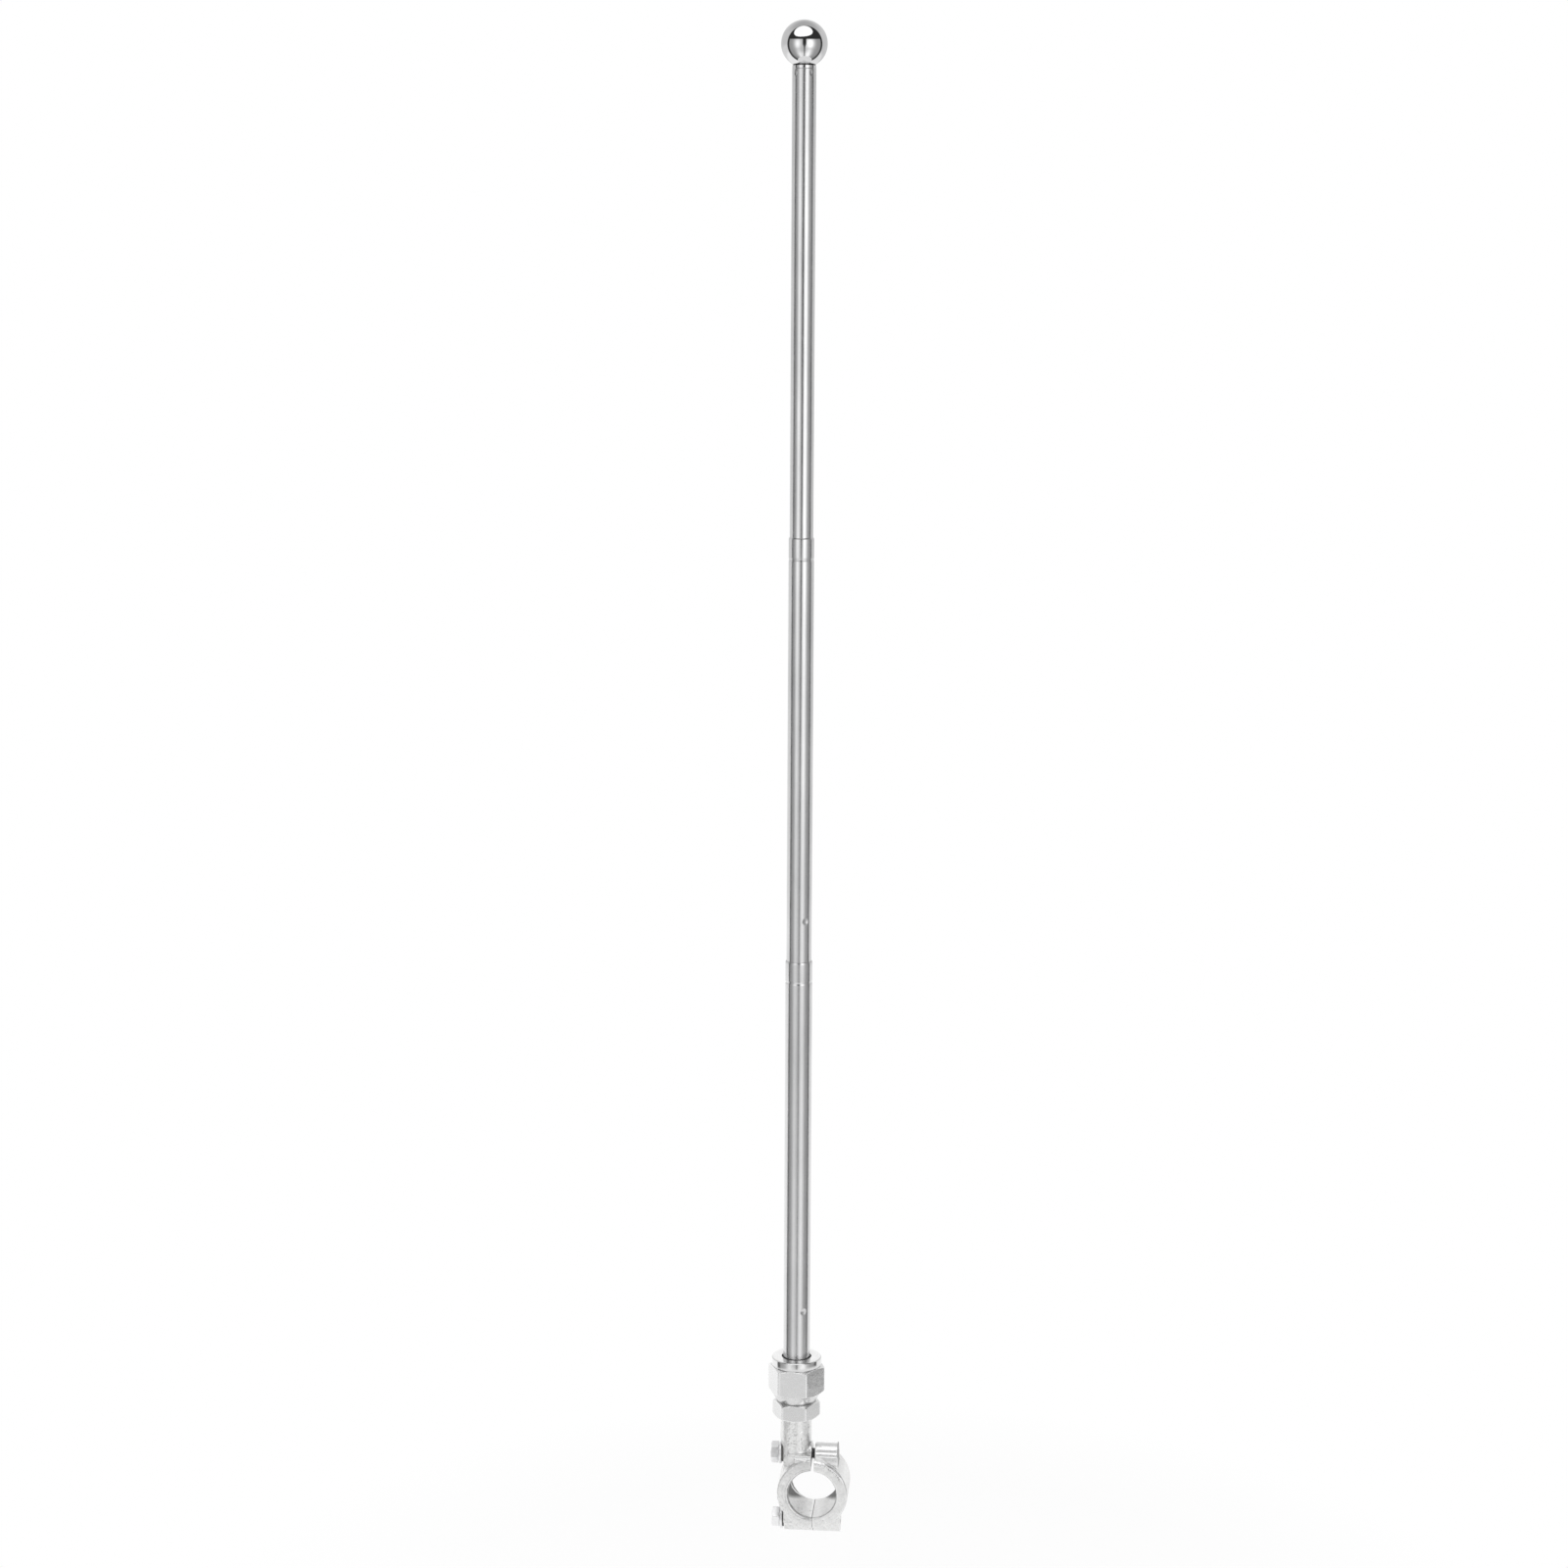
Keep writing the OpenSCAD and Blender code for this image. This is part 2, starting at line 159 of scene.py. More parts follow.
def fromCorner(angles, turn):
    # the angle from a hexagon's nearest corner
    return np.radians((np.degrees(angles) - turn + 30) % 60 - 30)


def hexAngles(look):
    tangent = cornerReach(look["flats"], look["cornerRound"])
    near = np.linspace(-tangent, tangent, look["cornerCount"])
    far = np.linspace(tangent, math.pi / 3 - tangent, look["faceCount"] + 2)[1:-1]
    sector = np.concatenate([near, far])
    return np.concatenate([math.radians(look["turn"] + 60 * k) + sector for k in range(6)])


def hexShape(look, angles):
    # a hexagon's radius at each angle, the radius of its flat end, and how high its chamfer rises
    flats, corner = look["flats"], look["cornerRound"]
    psi = fromCorner(angles, look["turn"])
    middle = (flats / 2 - corner) / math.cos(math.pi / 6)
    flat = flats / 2 / np.cos(math.pi / 6 - np.abs(psi))
    arc = middle * np.cos(psi) + np.sqrt(np.maximum(corner ** 2 - (middle * np.sin(psi)) ** 2, 0))
    hexagon = np.where(np.abs(psi) < cornerReach(flats, corner), arc, flat)
    land = flats / 2 - look["land"]
    return hexagon, land, (hexagon - land) * math.tan(math.radians(look["chamfer"]))


def setMark(mesh, name, values):
    mark = mesh.attributes.new(name, "FLOAT", "POINT")
    mark.data.foreach_set("value", np.clip(np.array(values, dtype=np.float32), 0, 1))


def makePiece(name, shape, node, material, place, sharp, marks=None):
    points, faces = shape
    mesh = bpy.data.meshes.new(name)
    mesh.from_pydata([(place @ Vector(p)) * mm for p in points], [], faces)
    x, y, z = np.array(points).T
    for mark, rule in (marks or {}).items():
        # a rule takes every point's radius, height and angle, before the piece is put in its place
        setMark(mesh, mark, rule(np.hypot(x, y), z, np.arctan2(y, x)))
    finishPiece(name, mesh, node, material, sharp)


def finishPiece(name, mesh, node, material, sharp):
    bm = bmesh.new()
    bm.from_mesh(mesh)
    bmesh.ops.recalc_face_normals(bm, faces=bm.faces)
    bm.to_mesh(mesh)
    bm.free()
    mesh.shade_smooth()
    mesh.set_sharp_from_angle(angle=math.radians(sharp))
    mesh.materials.clear()
    mesh.materials.append(material)
    piece = bpy.data.objects.new(name, mesh)
    scene.collection.objects.link(piece)
    body = [b for b, nodes in frame["record"]["behaviour"]["bodies"].items() if node in nodes][0]
    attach(piece, body)
    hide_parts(node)


# material helpers

noiseSpan = (0.3, 0.7)  # where most of a noise lies
# the tone each mark paints: near white on edges, partly worn metal and partly painted highlight;
# near black, partly dirt and partly painted shade
markTones = {"wearAndHighlight": (0.95, 0.95, 0.95, 1), "dirtAndShade": (0.015, 0.015, 0.015, 1)}


def addNode(tree, kind, values=None, **settings):
    made = tree.nodes.new("ShaderNode" + kind)
    for key, value in settings.items():
        setattr(made, key, value)
    for key, value in (values or {}).items():
        if isinstance(value, bpy.types.NodeSocket):
            tree.links.new(value, made.inputs[key])
        else:
            made.inputs[key].default_value = value
    return made


def startMetal(name):
    material = bpy.data.materials.new(name)
    material.use_nodes = True
    tree = material.node_tree
    shader = tree.nodes["Principled BSDF"]
    shader.inputs["Metallic"].default_value = 1.0
    return material, tree, shader


def grain(tree, size, stretch=(1, 1, 1), detail=3, offset=(0, 0, 0)):
    # noise with features of a size in millimetres, drawn out along an axis where stretch is above 1
    where = addNode(tree, "TexCoord").outputs["Object"]
    scale = [1 / (size * mm * s) for s in stretch]
    mapped = addNode(tree, "Mapping", {"Vector": where, "Scale": scale, "Location": offset})
    made = addNode(tree, "TexNoise", {"Vector": mapped.outputs[0], "Scale": 1.0, "Detail": detail})
    return made.outputs["Fac"]


def between(tree, value, low, high, span=noiseSpan):
    values = {"Value": value, "From Min": span[0], "From Max": span[1],
              "To Min": low, "To Max": high}
    return addNode(tree, "MapRange", values).outputs[0]


def tint(tree, value, dark, pale):
    ramp = addNode(tree, "ValToRGB", {"Fac": value})
    for stop, place, colour in zip(ramp.color_ramp.elements, noiseSpan, (dark, pale)):
        stop.position = place
        stop.color = (*colour, 1)
    return ramp.outputs["Color"]


def markOf(tree, name):
    return addNode(tree, "Attribute", attribute_name=name).outputs["Fac"]


def mixColour(tree, part, first, second):
    values = {0: part, 6: first, 7: second}
    return addNode(tree, "Mix", values, data_type="RGBA").outputs[2]


def mixNumber(tree, part, first, second):
    return addNode(tree, "Mix", {0: part, 2: first, 3: second}).outputs[0]


def dress(tree, shader, colour, rough, layers):
    # edges rubbed bright with painted highlight, and dirt with painted shade in corners, creases
    # and recesses
    for mark, tone in markTones.items():
        colour = mixColour(tree, markOf(tree, mark), colour, tone)
    tree.links.new(colour, shader.inputs["Base Color"])
    tree.links.new(rough, shader.inputs["Roughness"])
    # bumps on top of each other, each a height socket with its depth in millimetres
    normal = None
    for height, depth in layers:
        values = {"Height": height, "Strength": 1.0, "Distance": depth * mm}
        if normal:
            values["Normal"] = normal
        normal = addNode(tree, "Bump", values).outputs["Normal"]
    tree.links.new(normal, shader.inputs["Normal"])


# finishes, with gloss and dull for the roughness where the polish is best and worst

polishedTube = {
    "dark": (0.60, 0.60, 0.605), "pale": (0.68, 0.68, 0.685),
    "gloss": 0.17, "dull": 0.28,
    "lineSize": 0.12, "lineLength": 120, "lineDepth": 0.0008,
    "waveSize": 6, "waveLength": 6, "waveDepth": 0.022,
    "cloudSize": 14, "cloudLength": 2.5,
}


def makePolishedTube(look):
    material, tree, shader = startMetal("polishedTube")
    lines = grain(tree, look["lineSize"], (1, 1, look["lineLength"]), detail=4)
    wave = grain(tree, look["waveSize"], (1, 1, look["waveLength"]), detail=2)
    cloud = grain(tree, look["cloudSize"], (1, 1, look["cloudLength"]), offset=(3, 1, 7))
    colour = tint(tree, cloud, look["dark"], look["pale"])
    rough = between(tree, lines, look["gloss"], look["dull"])
    dress(tree, shader, colour, rough, [(wave, look["waveDepth"]), (lines, look["lineDepth"])])
    return material


polishedBall = {
    "dark": (0.64, 0.64, 0.645), "pale": (0.69, 0.69, 0.695),
    "gloss": 0.02, "dull": 0.06,
    "hairSize": 0.5, "hairLength": 6,
    "waveSize": 4, "waveDepth": 0.004,
}


def makePolishedBall(look):
    material, tree, shader = startMetal("polishedBall")
    hair = grain(tree, look["hairSize"], (1, look["hairLength"], 1), detail=4)
    wave = grain(tree, look["waveSize"], detail=2)
    colour = tint(tree, wave, look["dark"], look["pale"])
    rough = between(tree, hair, look["gloss"], look["dull"])
    dress(tree, shader, colour, rough, [(wave, look["waveDepth"])])
    return material


turnedSteel = {
    "dark": (0.69, 0.69, 0.69), "pale": (0.74, 0.74, 0.74),
    "gloss": 0.22, "dull": 0.32, "turnedGloss": 0.15,
    "ringSize": 0.09, "ringLength": 60, "ringDepth": 0.0012,  # tool marks run round the piece
    "smearSize": 2.2, "smearLength": 1.6,
    "dingSize": 1.4, "dingDepth": 0.007,
}


def makeTurnedSteel(look):
    material, tree, shader = startMetal("turnedSteel")
    smear = grain(tree, look["smearSize"], (look["smearLength"], look["smearLength"], 1), detail=4)
    ring = grain(tree, look["ringSize"], (look["ringLength"], look["ringLength"], 1))
    ding = grain(tree, look["dingSize"], offset=(2, 5, 1))
    colour = tint(tree, smear, look["dark"], look["pale"])
    rough = between(tree, smear, look["gloss"], look["dull"])
    rough = mixNumber(tree, markOf(tree, "turned"), rough, look["turnedGloss"])
    dress(tree, shader, colour, rough, [(ding, look["dingDepth"]), (ring, look["ringDepth"])])
    return material


boltSteel = {
    "dark": (0.84, 0.84, 0.845), "pale": (0.92, 0.92, 0.925),
    "gloss": 0.30, "dull": 0.42,
    "smearSize": 1.2, "dingSize": 0.8, "dingDepth": 0.008,
}

# near black spring steel: dark oxide, made darker still as painted shade for the gap between the
# flat washer and the clamp
springSteelAndShade = {
    "dark": (0.10, 0.10, 0.10), "pale": (0.24, 0.235, 0.23),
    "gloss": 0.30, "dull": 0.50,
    "smearSize": 0.9, "dingSize": 0.5, "dingDepth": 0.015,
}


def makeBoltSteel(name, look):
    material, tree, shader = startMetal(name)
    smear = grain(tree, look["smearSize"], detail=4)
    ding = grain(tree, look["dingSize"], offset=(4, 2, 6))
    colour = tint(tree, smear, look["dark"], look["pale"])
    rough = between(tree, smear, look["gloss"], look["dull"])
    dress(tree, shader, colour, rough, [(ding, look["dingDepth"])])
    return material


castSteel = {
    "dark": (0.76, 0.76, 0.755), "pale": (0.86, 0.86, 0.855),
    "gloss": 0.24, "dull": 0.44, "dirtAndShadeRough": 0.85,
    "skinSize": 2.0, "skinDepth": 0.045,
    "gritSize": 0.5, "gritDepth": 0.010,
    "speckSize": 0.8, "speckDark": (0.62, 0.62, 0.615), "speckSpan": (0.60, 0.75),
}


def makeCastSteel(look):
    material, tree, shader = startMetal("castSteel")
    skin = grain(tree, look["skinSize"])
    grit = grain(tree, look["gritSize"], offset=(7, 3, 2))
    speck = grain(tree, look["speckSize"], detail=2, offset=(1, 6, 8))
    speck = between(tree, speck, 0, 1, look["speckSpan"])
    colour = tint(tree, skin, look["dark"], look["pale"])
    colour = mixColour(tree, speck, colour, (*look["speckDark"], 1))
    # where dirt and painted shade lie, the surface is matte and no metal
    darkening = markOf(tree, "dirtAndShade")
    tree.links.new(between(tree, darkening, 1, 0, (0, 1)), shader.inputs["Metallic"])
    rough = between(tree, grit, look["gloss"], look["dull"])
    rough = mixNumber(tree, darkening, rough, look["dirtAndShadeRough"])
    dress(tree, shader, colour, rough, [(skin, look["skinDepth"]), (grit, look["gritDepth"])])
    return material


tubeFinish = makePolishedTube(polishedTube)
ballFinish = makePolishedBall(polishedBall)
turnedFinish = makeTurnedSteel(turnedSteel)
boltFinish = makeBoltSteel("boltSteel", boltSteel)
springAndShadeFinish = makeBoltSteel("springSteelAndShade", springSteelAndShade)
castFinish = makeCastSteel(castSteel)
print("finishes made")


# pole tubes

tube = {
    "wall": 0.3, "rollIn": 0.15,
    "mouthHeight": 1.1, "mouthBend": 0.65, "mouthLean": 15.5,
    "lipRound": 0.08, "lipFall": 0.3, "lipLand": 0.5,  # the last two as parts of the round
    "grooveDrop": 11, "grooveWidth": 2.0, "grooveDepth": 0.18,
    "footLength": 8, "flareHeight": 1.5,
    "stopBearing": 35, "stakeBearing": 39, "stakeDrop": 2.2,
    # half the width and height of each dimple
    "stopWide": 1.9, "stopTall": 1.9, "stopDepth": 0.48,
    "stakeWide": 1.0, "stakeTall": 1.6, "stakeDepth": 0.17,
    # height of each stop dimple above the mouth or collar below it
    "lowerStop": 26.0, "middleStop": 21.5,
    "dimpleReach": 1.1, "dimpleTop": 0.2, "dimplePower": 1.4, "dimpleRings": 26,
    "around": 240, "rollSteps": 10, "sharp": 45, "shadeDeep": 3,
}


def ease(t):
    return (1 - math.cos(math.pi * t)) / 2


def tubeSkin(radius, foot, mouth, flared, rolled, dimples):
    steps = [i / tube["rollSteps"] for i in range(tube["rollSteps"] + 1)]
    roll, lip = tube["rollIn"], tube["lipRound"]
    skin = []
    if flared:
        flare = foot + tube["footLength"]
        skin.append((radius + roll, foot))
        skin += [(radius + roll * (1 - ease(t)), flare + tube["flareHeight"] * t) for t in steps]
    else:
        skin.append((radius, foot))
    for height, tall in sorted({(height, tall) for bearing, height, wide, tall, depth in dimples}):
        reach = tube["dimpleReach"] * tall
        top = min(height + reach, mouth - tube["dimpleTop"])
        skin += [(radius, z) for z in np.linspace(height - reach, top, tube["dimpleRings"])]
    if not rolled:
        return skin + [(radius, mouth - lip)]
    middle, half, depth = mouth - tube["grooveDrop"], tube["grooveWidth"] / 2, tube["grooveDepth"]
    skin += [(radius - depth * ease(t), middle - half * (1 - t)) for t in steps]
    skin += [(radius - depth * ease(1 - t), middle + half * t) for t in steps[1:]]
    # the mouth bends in to a short cone
    lean, bend = math.tan(math.radians(tube["mouthLean"])), tube["mouthBend"]
    start = mouth - tube["mouthHeight"]
    skin += [(radius - lean * bend * t * t / 2, start + bend * t) for t in steps]
    skin.append((radius - lean * (tube["mouthHeight"] - lip - bend / 2), mouth - lip))
    return skin


def makeTube(name, node, radius, foot, mouth, flared, rolled, dimples):
    skin = tubeSkin(radius, foot, mouth, flared, rolled, dimples)
    wall, lip = tube["wall"], tube["lipRound"]
    bore = radius - wall - (tube["rollIn"] if rolled else 0)  # the narrowest place inside
    lining = [(max(r - wall, bore), z) for r, z in reversed(skin)]
    lipRadius, fall = skin[-1][0], tube["lipFall"] * lip
    rim = [(lipRadius - fall, mouth - fall), (lipRadius - lip, mouth),
           (bore + tube["lipLand"] * lip, mouth)]
    angles = evenAngles(tube["around"])
    radii, heights = spread(skin + rim + lining, len(angles))
    for bearing, height, wide, tall, depth in dimples:
        swing = (angles - math.radians(bearing - 90) + math.pi) % (2 * math.pi) - math.pi
        far = np.hypot(radius * swing / wide, (heights - height) / tall)
        radii = radii - depth * np.maximum(1 - far ** 2, 0) ** tube["dimplePower"]
    # painted shade on the lining just inside the mouth
    inside = {"dirtAndShade": lambda r, z, angle: (r < bore + lip) & (z > mouth - tube["shadeDeep"])}
    makePiece(name, spin(radii, heights, angles), node, tubeFinish, onPole, tube["sharp"], inside)


def stopDimple(height):
    return [(tube["stopBearing"], height, tube["stopWide"], tube["stopTall"], tube["stopDepth"])]


lowerRadius = (lowerHigh[0] - lowerLow[0]) / 2
middleRadius = (middleHigh[0] - middleLow[0]) / 2 - tube["rollIn"]
upperRadius = (upperHigh[0] - upperLow[0]) / 2 - tube["rollIn"]
collarTop = nodeBox("pole_coupling")[1][2]
stake = (upperHigh[2] - tube["stakeDrop"], tube["stakeWide"], tube["stakeTall"], tube["stakeDepth"])
stakes = [(far + side * tube["stakeBearing"], *stake) for far in (0, 180) for side in (-1, 1)]

makeTube("lowerTubePolished", "lower_tube", lowerRadius, lowerLow[2], lowerHigh[2],
         False, True, stopDimple(collarTop + tube["lowerStop"]))
makeTube("middleTubePolished", "middle_tube", middleRadius, middleLow[2], middleHigh[2],
         True, True, stopDimple(lowerHigh[2] + tube["middleStop"]))
makeTube("upperTubePolished", "upper_tube", upperRadius, upperLow[2], upperHigh[2],
         True, False, stakes)
print("tubes made")


# ball finial on its shoulder and spigot

finial = {
    "wall": 1.2, "shoulderHeight": 1.8, "creaseIn": 0.9, "creaseHigh": 0.28,
    "spigotGap": 0.05, "stakeIn": 0.55, "bore": 3.55, "stakeHalf": 1.3,
    "around": 192, "ballRings": 110, "hollowRings": 36, "edge": 0.12, "edgeSteps": 5, "sharp": 35,
    # where the crease's painted shade starts, and how far it takes to turn black
    "shadeLow": 0.5, "shadeStep": 0.02,
    "shadeAbove": 0.1, "shadeAboveFade": 0.3, "shadeBelow": -0.12, "shadeBelowFade": 0.2,
}


def makeFinial(look):
    top, bottom = ballHigh[2], ballLow[2]
    ballRadius = (ballHigh[0] - ballLow[0]) / 2
    centre = top - ballRadius
    base = upperHigh[2]
    shoulderTop = base + look["shoulderHeight"] - look["creaseHigh"]
    creaseRadius = upperRadius - look["creaseIn"]
    spigotRadius = upperRadius - tube["wall"] - look["spigotGap"]
    stakeRadius = spigotRadius - look["stakeIn"] + look["spigotGap"]
    stakeLow = base - tube["stakeDrop"] - look["stakeHalf"]
    stakeHigh = base - tube["stakeDrop"] + look["stakeHalf"]
    columns = look["around"]
    stem = [
        (look["bore"], bottom), (spigotRadius, bottom), (spigotRadius, stakeLow),
        (stakeRadius, stakeLow), (stakeRadius, stakeHigh), (spigotRadius, stakeHigh),
        (spigotRadius, base), (upperRadius, base), (upperRadius, shoulderTop),
        (creaseRadius, shoulderTop),
        (creaseRadius, centre - math.sqrt(ballRadius ** 2 - creaseRadius ** 2)),
    ]
    stemR, stemZ = soften(*spread(stem, columns), look["edge"], look["edgeSteps"])
    outerStart = math.asin(creaseRadius / ballRadius)
    hollow = ballRadius - look["wall"]
    innerStart = math.asin(look["bore"] / hollow)
    outer = [(ballRadius * math.sin(a), centre - ballRadius * math.cos(a))
             for a in np.linspace(outerStart, math.pi, look["ballRings"])[1:]]
    inner = [(hollow * math.sin(a), centre - hollow * math.cos(a))
             for a in np.linspace(math.pi, innerStart, look["hollowRings"])]
    skinR, skinZ = spread(outer + inner, columns)

    def creaseShade(r, z, angle):
        # painted shade: black in the crease, on the shoulder's top and under the ball
        above = (upperRadius + look["shadeAbove"] - r) / look["shadeAboveFade"]
        below = (upperRadius + look["shadeBelow"] - r) / look["shadeBelowFade"]
        darkening = np.where(z > shoulderTop + look["shadeStep"], above, below)
        return darkening * ((z > base + look["shadeLow"]) & (z < centre - ballRadius / 2))

    radii, heights = np.vstack([stemR, skinR]), np.vstack([stemZ, skinZ])
    makePiece("ballPolished", spin(radii, heights, evenAngles(columns)), "ball_finial", ballFinish,
              onPole, look["sharp"], {"dirtAndShade": creaseShade})


makeFinial(finial)
print("finial made")


# hexagon coupling and jam nut

# how many corner widths are worn bright and painted with highlight, and how far past the ends and
# inside the land
hexBright = {"flare": 1.5, "past": 0.1, "within": 0.05}


def hexWearAndHighlight(look, bottom, top):
    # worn bright and painted highlight along the corners and along the chamfers' curved edges
    corner = hexBright["flare"] * cornerReach(look["flats"], look["cornerRound"])

    def rule(r, z, angle):
        hexagon, land, rise = hexShape(look, angle)
        psi = np.abs(fromCorner(angle, look["turn"]))
        near = np.minimum(np.abs(z - bottom - rise), np.abs(z - top + rise))
        along = np.maximum(1 - psi / corner, 1 - near / look["brightBand"])
        level = (z > bottom - hexBright["past"]) & (z < top + hexBright["past"])
        return along * (level & (r > land - hexBright["within"]))

    return rule


coupling = {
    "flats": 26.4, "turn": -5, "cornerRound": 1.0, "land": 0.25, "chamfer": 30, "brightBand": 0.35,
    "cornerCount": 7, "faceCount": 14,
    "taperHeight": 4.8, "taperFoot": 10.4, "hexHeight": 14.8,
    "collarRadius": 13.1, "collarStep": 0.4,
    "socket": 8.05, "socketDepth": 11, "web": 2,
    "seatGap": 0.05, "relief": 0.75, "reliefDepth": 1.4,
    "edge": 0.16, "edgeSteps": 4, "sharp": 30,
    "taperTurned": 0.5, "markOff": 0.05, "markAside": 0.02,  # how far marks keep off the edges
}


def makeCoupling(look):
    bottom, top = (corner[2] for corner in nodeBox("pole_coupling"))
    angles = hexAngles(look)
    hexagon, land, rise = hexShape(look, angles)
    hexLow = bottom + look["taperHeight"]
    hexHigh = hexLow + look["hexHeight"]
    collar, step, brightBand = look["collarRadius"], look["collarStep"], look["brightBand"]
    seat = lowerRadius + look["seatGap"]
    mouth = seat + look["relief"]
    socketTop = bottom + look["socketDepth"]
    seatLow = socketTop + look["web"]
    reliefLow = top - look["reliefDepth"]
    corners = [
        (0, socketTop), (look["socket"], socketTop), (look["socket"], bottom),
        (look["taperFoot"], bottom), (land, hexLow), (hexagon, hexLow + rise),
        (hexagon, hexLow + rise + brightBand), (hexagon, hexHigh - rise - brightBand), (hexagon, hexHigh - rise),
        (land, hexHigh), (collar - step, hexHigh), (collar - step, hexHigh + step),
        (collar, hexHigh + step), (collar, top - step), (collar - step, top),
        (mouth, top), (mouth, reliefLow), (seat, reliefLow), (seat, seatLow), (0, seatLow),
    ]
    radii, heights = soften(*spread(corners, len(angles)), look["edge"], look["edgeSteps"])

    def turned(r, z, angle):
        # the collar shines from the lathe, and the taper half as much
        onCollar = (z > hexHigh + look["markOff"]) & (r > collar - step - look["markAside"])
        return look["taperTurned"] * (z < hexLow - look["markOff"]) + onCollar

    def dirtAndShade(r, z, angle):
        # painted shade inside the socket that holds the tube
        return (r < mouth - look["markAside"]) & (z > seatLow)

    marks = {"wearAndHighlight": hexWearAndHighlight(look, hexLow, hexHigh), "turned": turned, "dirtAndShade": dirtAndShade}
    makePiece("couplingTurned", spin(radii, heights, angles), "pole_coupling", turnedFinish,
              onPole, look["sharp"], marks)


jamNut = {
    "flats": 22.2, "turn": -2, "cornerRound": 0.8, "land": 0.25, "chamfer": 30, "brightBand": 0.35,
    "cornerCount": 7, "faceCount": 14,
    "bore": 8.05, "countersink": 0.6, "edge": 0.16, "edgeSteps": 4, "sharp": 30,
}


def makeJamNut(look):
    bottom, top = (corner[2] for corner in nodeBox("jam_nut"))
    angles = hexAngles(look)
    hexagon, land, rise = hexShape(look, angles)
    bore, sink, brightBand = look["bore"], look["countersink"], look["brightBand"]
    corners = [
        (bore + sink, bottom), (land, bottom), (hexagon, bottom + rise),
        (hexagon, bottom + rise + brightBand), (hexagon, top - rise - brightBand), (hexagon, top - rise),
        (land, top), (bore + sink, top), (bore, top - sink), (bore, bottom + sink),
    ]
    profile = spread(corners, len(angles))
    radii, heights = soften(*profile, look["edge"], look["edgeSteps"], loop=True)
    makePiece("jamNutMilled", spin(radii, heights, angles), "jam_nut", turnedFinish,
              onPole, look["sharp"], {"wearAndHighlight": hexWearAndHighlight(look, bottom, top)})


makeCoupling(coupling)
makeJamNut(jamNut)
print("coupling and jam nut made")


# clamp bolts and their washers, built along Z and then laid along X

bolt = {
    "shank": 3.0, "flats": 10, "headHeight": 4, "faceHeight": 0.5, "faceStep": 0.5,
    "cornerRound": 0.4, "land": 0.25, "chamfer": 30, "brightBand": 0.25,
    "cornerCount": 5, "faceCount": 10, "edge": 0.14, "edgeSteps": 4, "sharp": 35,
    "plain": 9, "pitch": 1.0, "threadDepth": 0.55, "rowsPerPitch": 12,
    "rootGain": 1.25, "crestFlat": 0.12,  # widen the thread's roots and flatten its crests
    "tip": 0.7, "tipStart": 0.4, "tipIn": 0.05, "tipEnd": 0.5,
    "grease": 0.75, "greaseStart": 0.3, "greaseEnd": 5,
    "upperTurn": -18, "lowerTurn": 8,
}


def alongX(x, z):
    return Matrix.Translation((x, 0, z)) @ Matrix.Rotation(math.pi / 2, 4, "Y")


def makeBolt(name, node, turn, look):
    look = {**look, "turn": turn}
    low, high = nodeBox(node)
    head = look["headHeight"] + look["faceHeight"]
    length = high[0] - low[0] - head
    angles = hexAngles(look)
    hexagon, land, rise = hexShape(look, angles)
    face, under = look["flats"] / 2 - look["faceStep"], -look["faceHeight"]
    shank, plain, pitch = look["shank"], look["plain"], look["pitch"]
    corners = [
        (0, -head), (land, -head), (hexagon, rise - head), (hexagon, rise - head + look["brightBand"]),
        (hexagon, under), (face, under), (face, 0), (shank, 0), (shank, plain),
    ]
    radii, heights = soften(*spread(corners, len(angles)), look["edge"], look["edgeSteps"])
    # the thread winds on from the plain shank, and runs out over the rounded tip
    along = np.arange(plain, length - look["tip"], pitch / look["rowsPerPitch"])[1:, None]
    turnPart = angles[None, :] / (2 * math.pi)
    wave = np.abs(2 * ((along / pitch - turnPart) % 1) - 1)
    grow = np.clip((along - plain) / pitch, 0, 1)
    cut = np.clip(look["rootGain"] * wave - look["crestFlat"], 0, 1)
    threadR = shank - look["threadDepth"] * grow * cut
    threadZ = np.broadcast_to(along, threadR.shape)
    root = shank - look["threadDepth"]
    tip = [(root - look["tipIn"], length - look["tip"] * look["tipStart"]),
           (root - look["tipEnd"], length), (0, length)]
    tipR, tipZ = spread(tip, len(angles))
    radii, heights = np.vstack([radii, threadR, tipR]), np.vstack([heights, threadZ, tipZ])

    def oldGrease(r, z, angle):
        return look["grease"] * ((z > look["greaseStart"]) & (z < length - look["greaseEnd"]))

    marks = {"wearAndHighlight": hexWearAndHighlight(look, -head, length), "dirtAndShade": oldGrease}
    place = alongX(low[0] + head, (low[2] + high[2]) / 2)
    makePiece(name, spin(radii, heights, angles), node, boltFinish, place, look["sharp"], marks)


def washerShape(node, look):
    # where it sits, and the corners of its section
    low, high = nodeBox(node)
    thick, outer = high[0] - low[0], (high[2] - low[2]) / 2
    corners = [(look["hole"], 0), (outer, 0), (outer, thick), (look["hole"], thick)]
    return alongX(low[0], (low[2] + high[2]) / 2), corners


washer = {"hole": 3.2, "round": 0.32, "roundSteps": 5, "around": 96, "sharp": 35}


def makeFlatWasher(name, node, look):
    place, corners = washerShape(node, look)
    angles = evenAngles(look["around"])
    profile = spread(corners, len(angles))
    radii, heights = soften(*profile, look["round"], look["roundSteps"], loop=True)
    makePiece(name, spin(radii, heights, angles), node, boltFinish, place, look["sharp"])


lockWasher = {
    "hole": 3.2, "round": 0.14, "roundSteps": 3, "split": 1.0, "slant": 20,
    "around": 72, "sharp": 35,
}


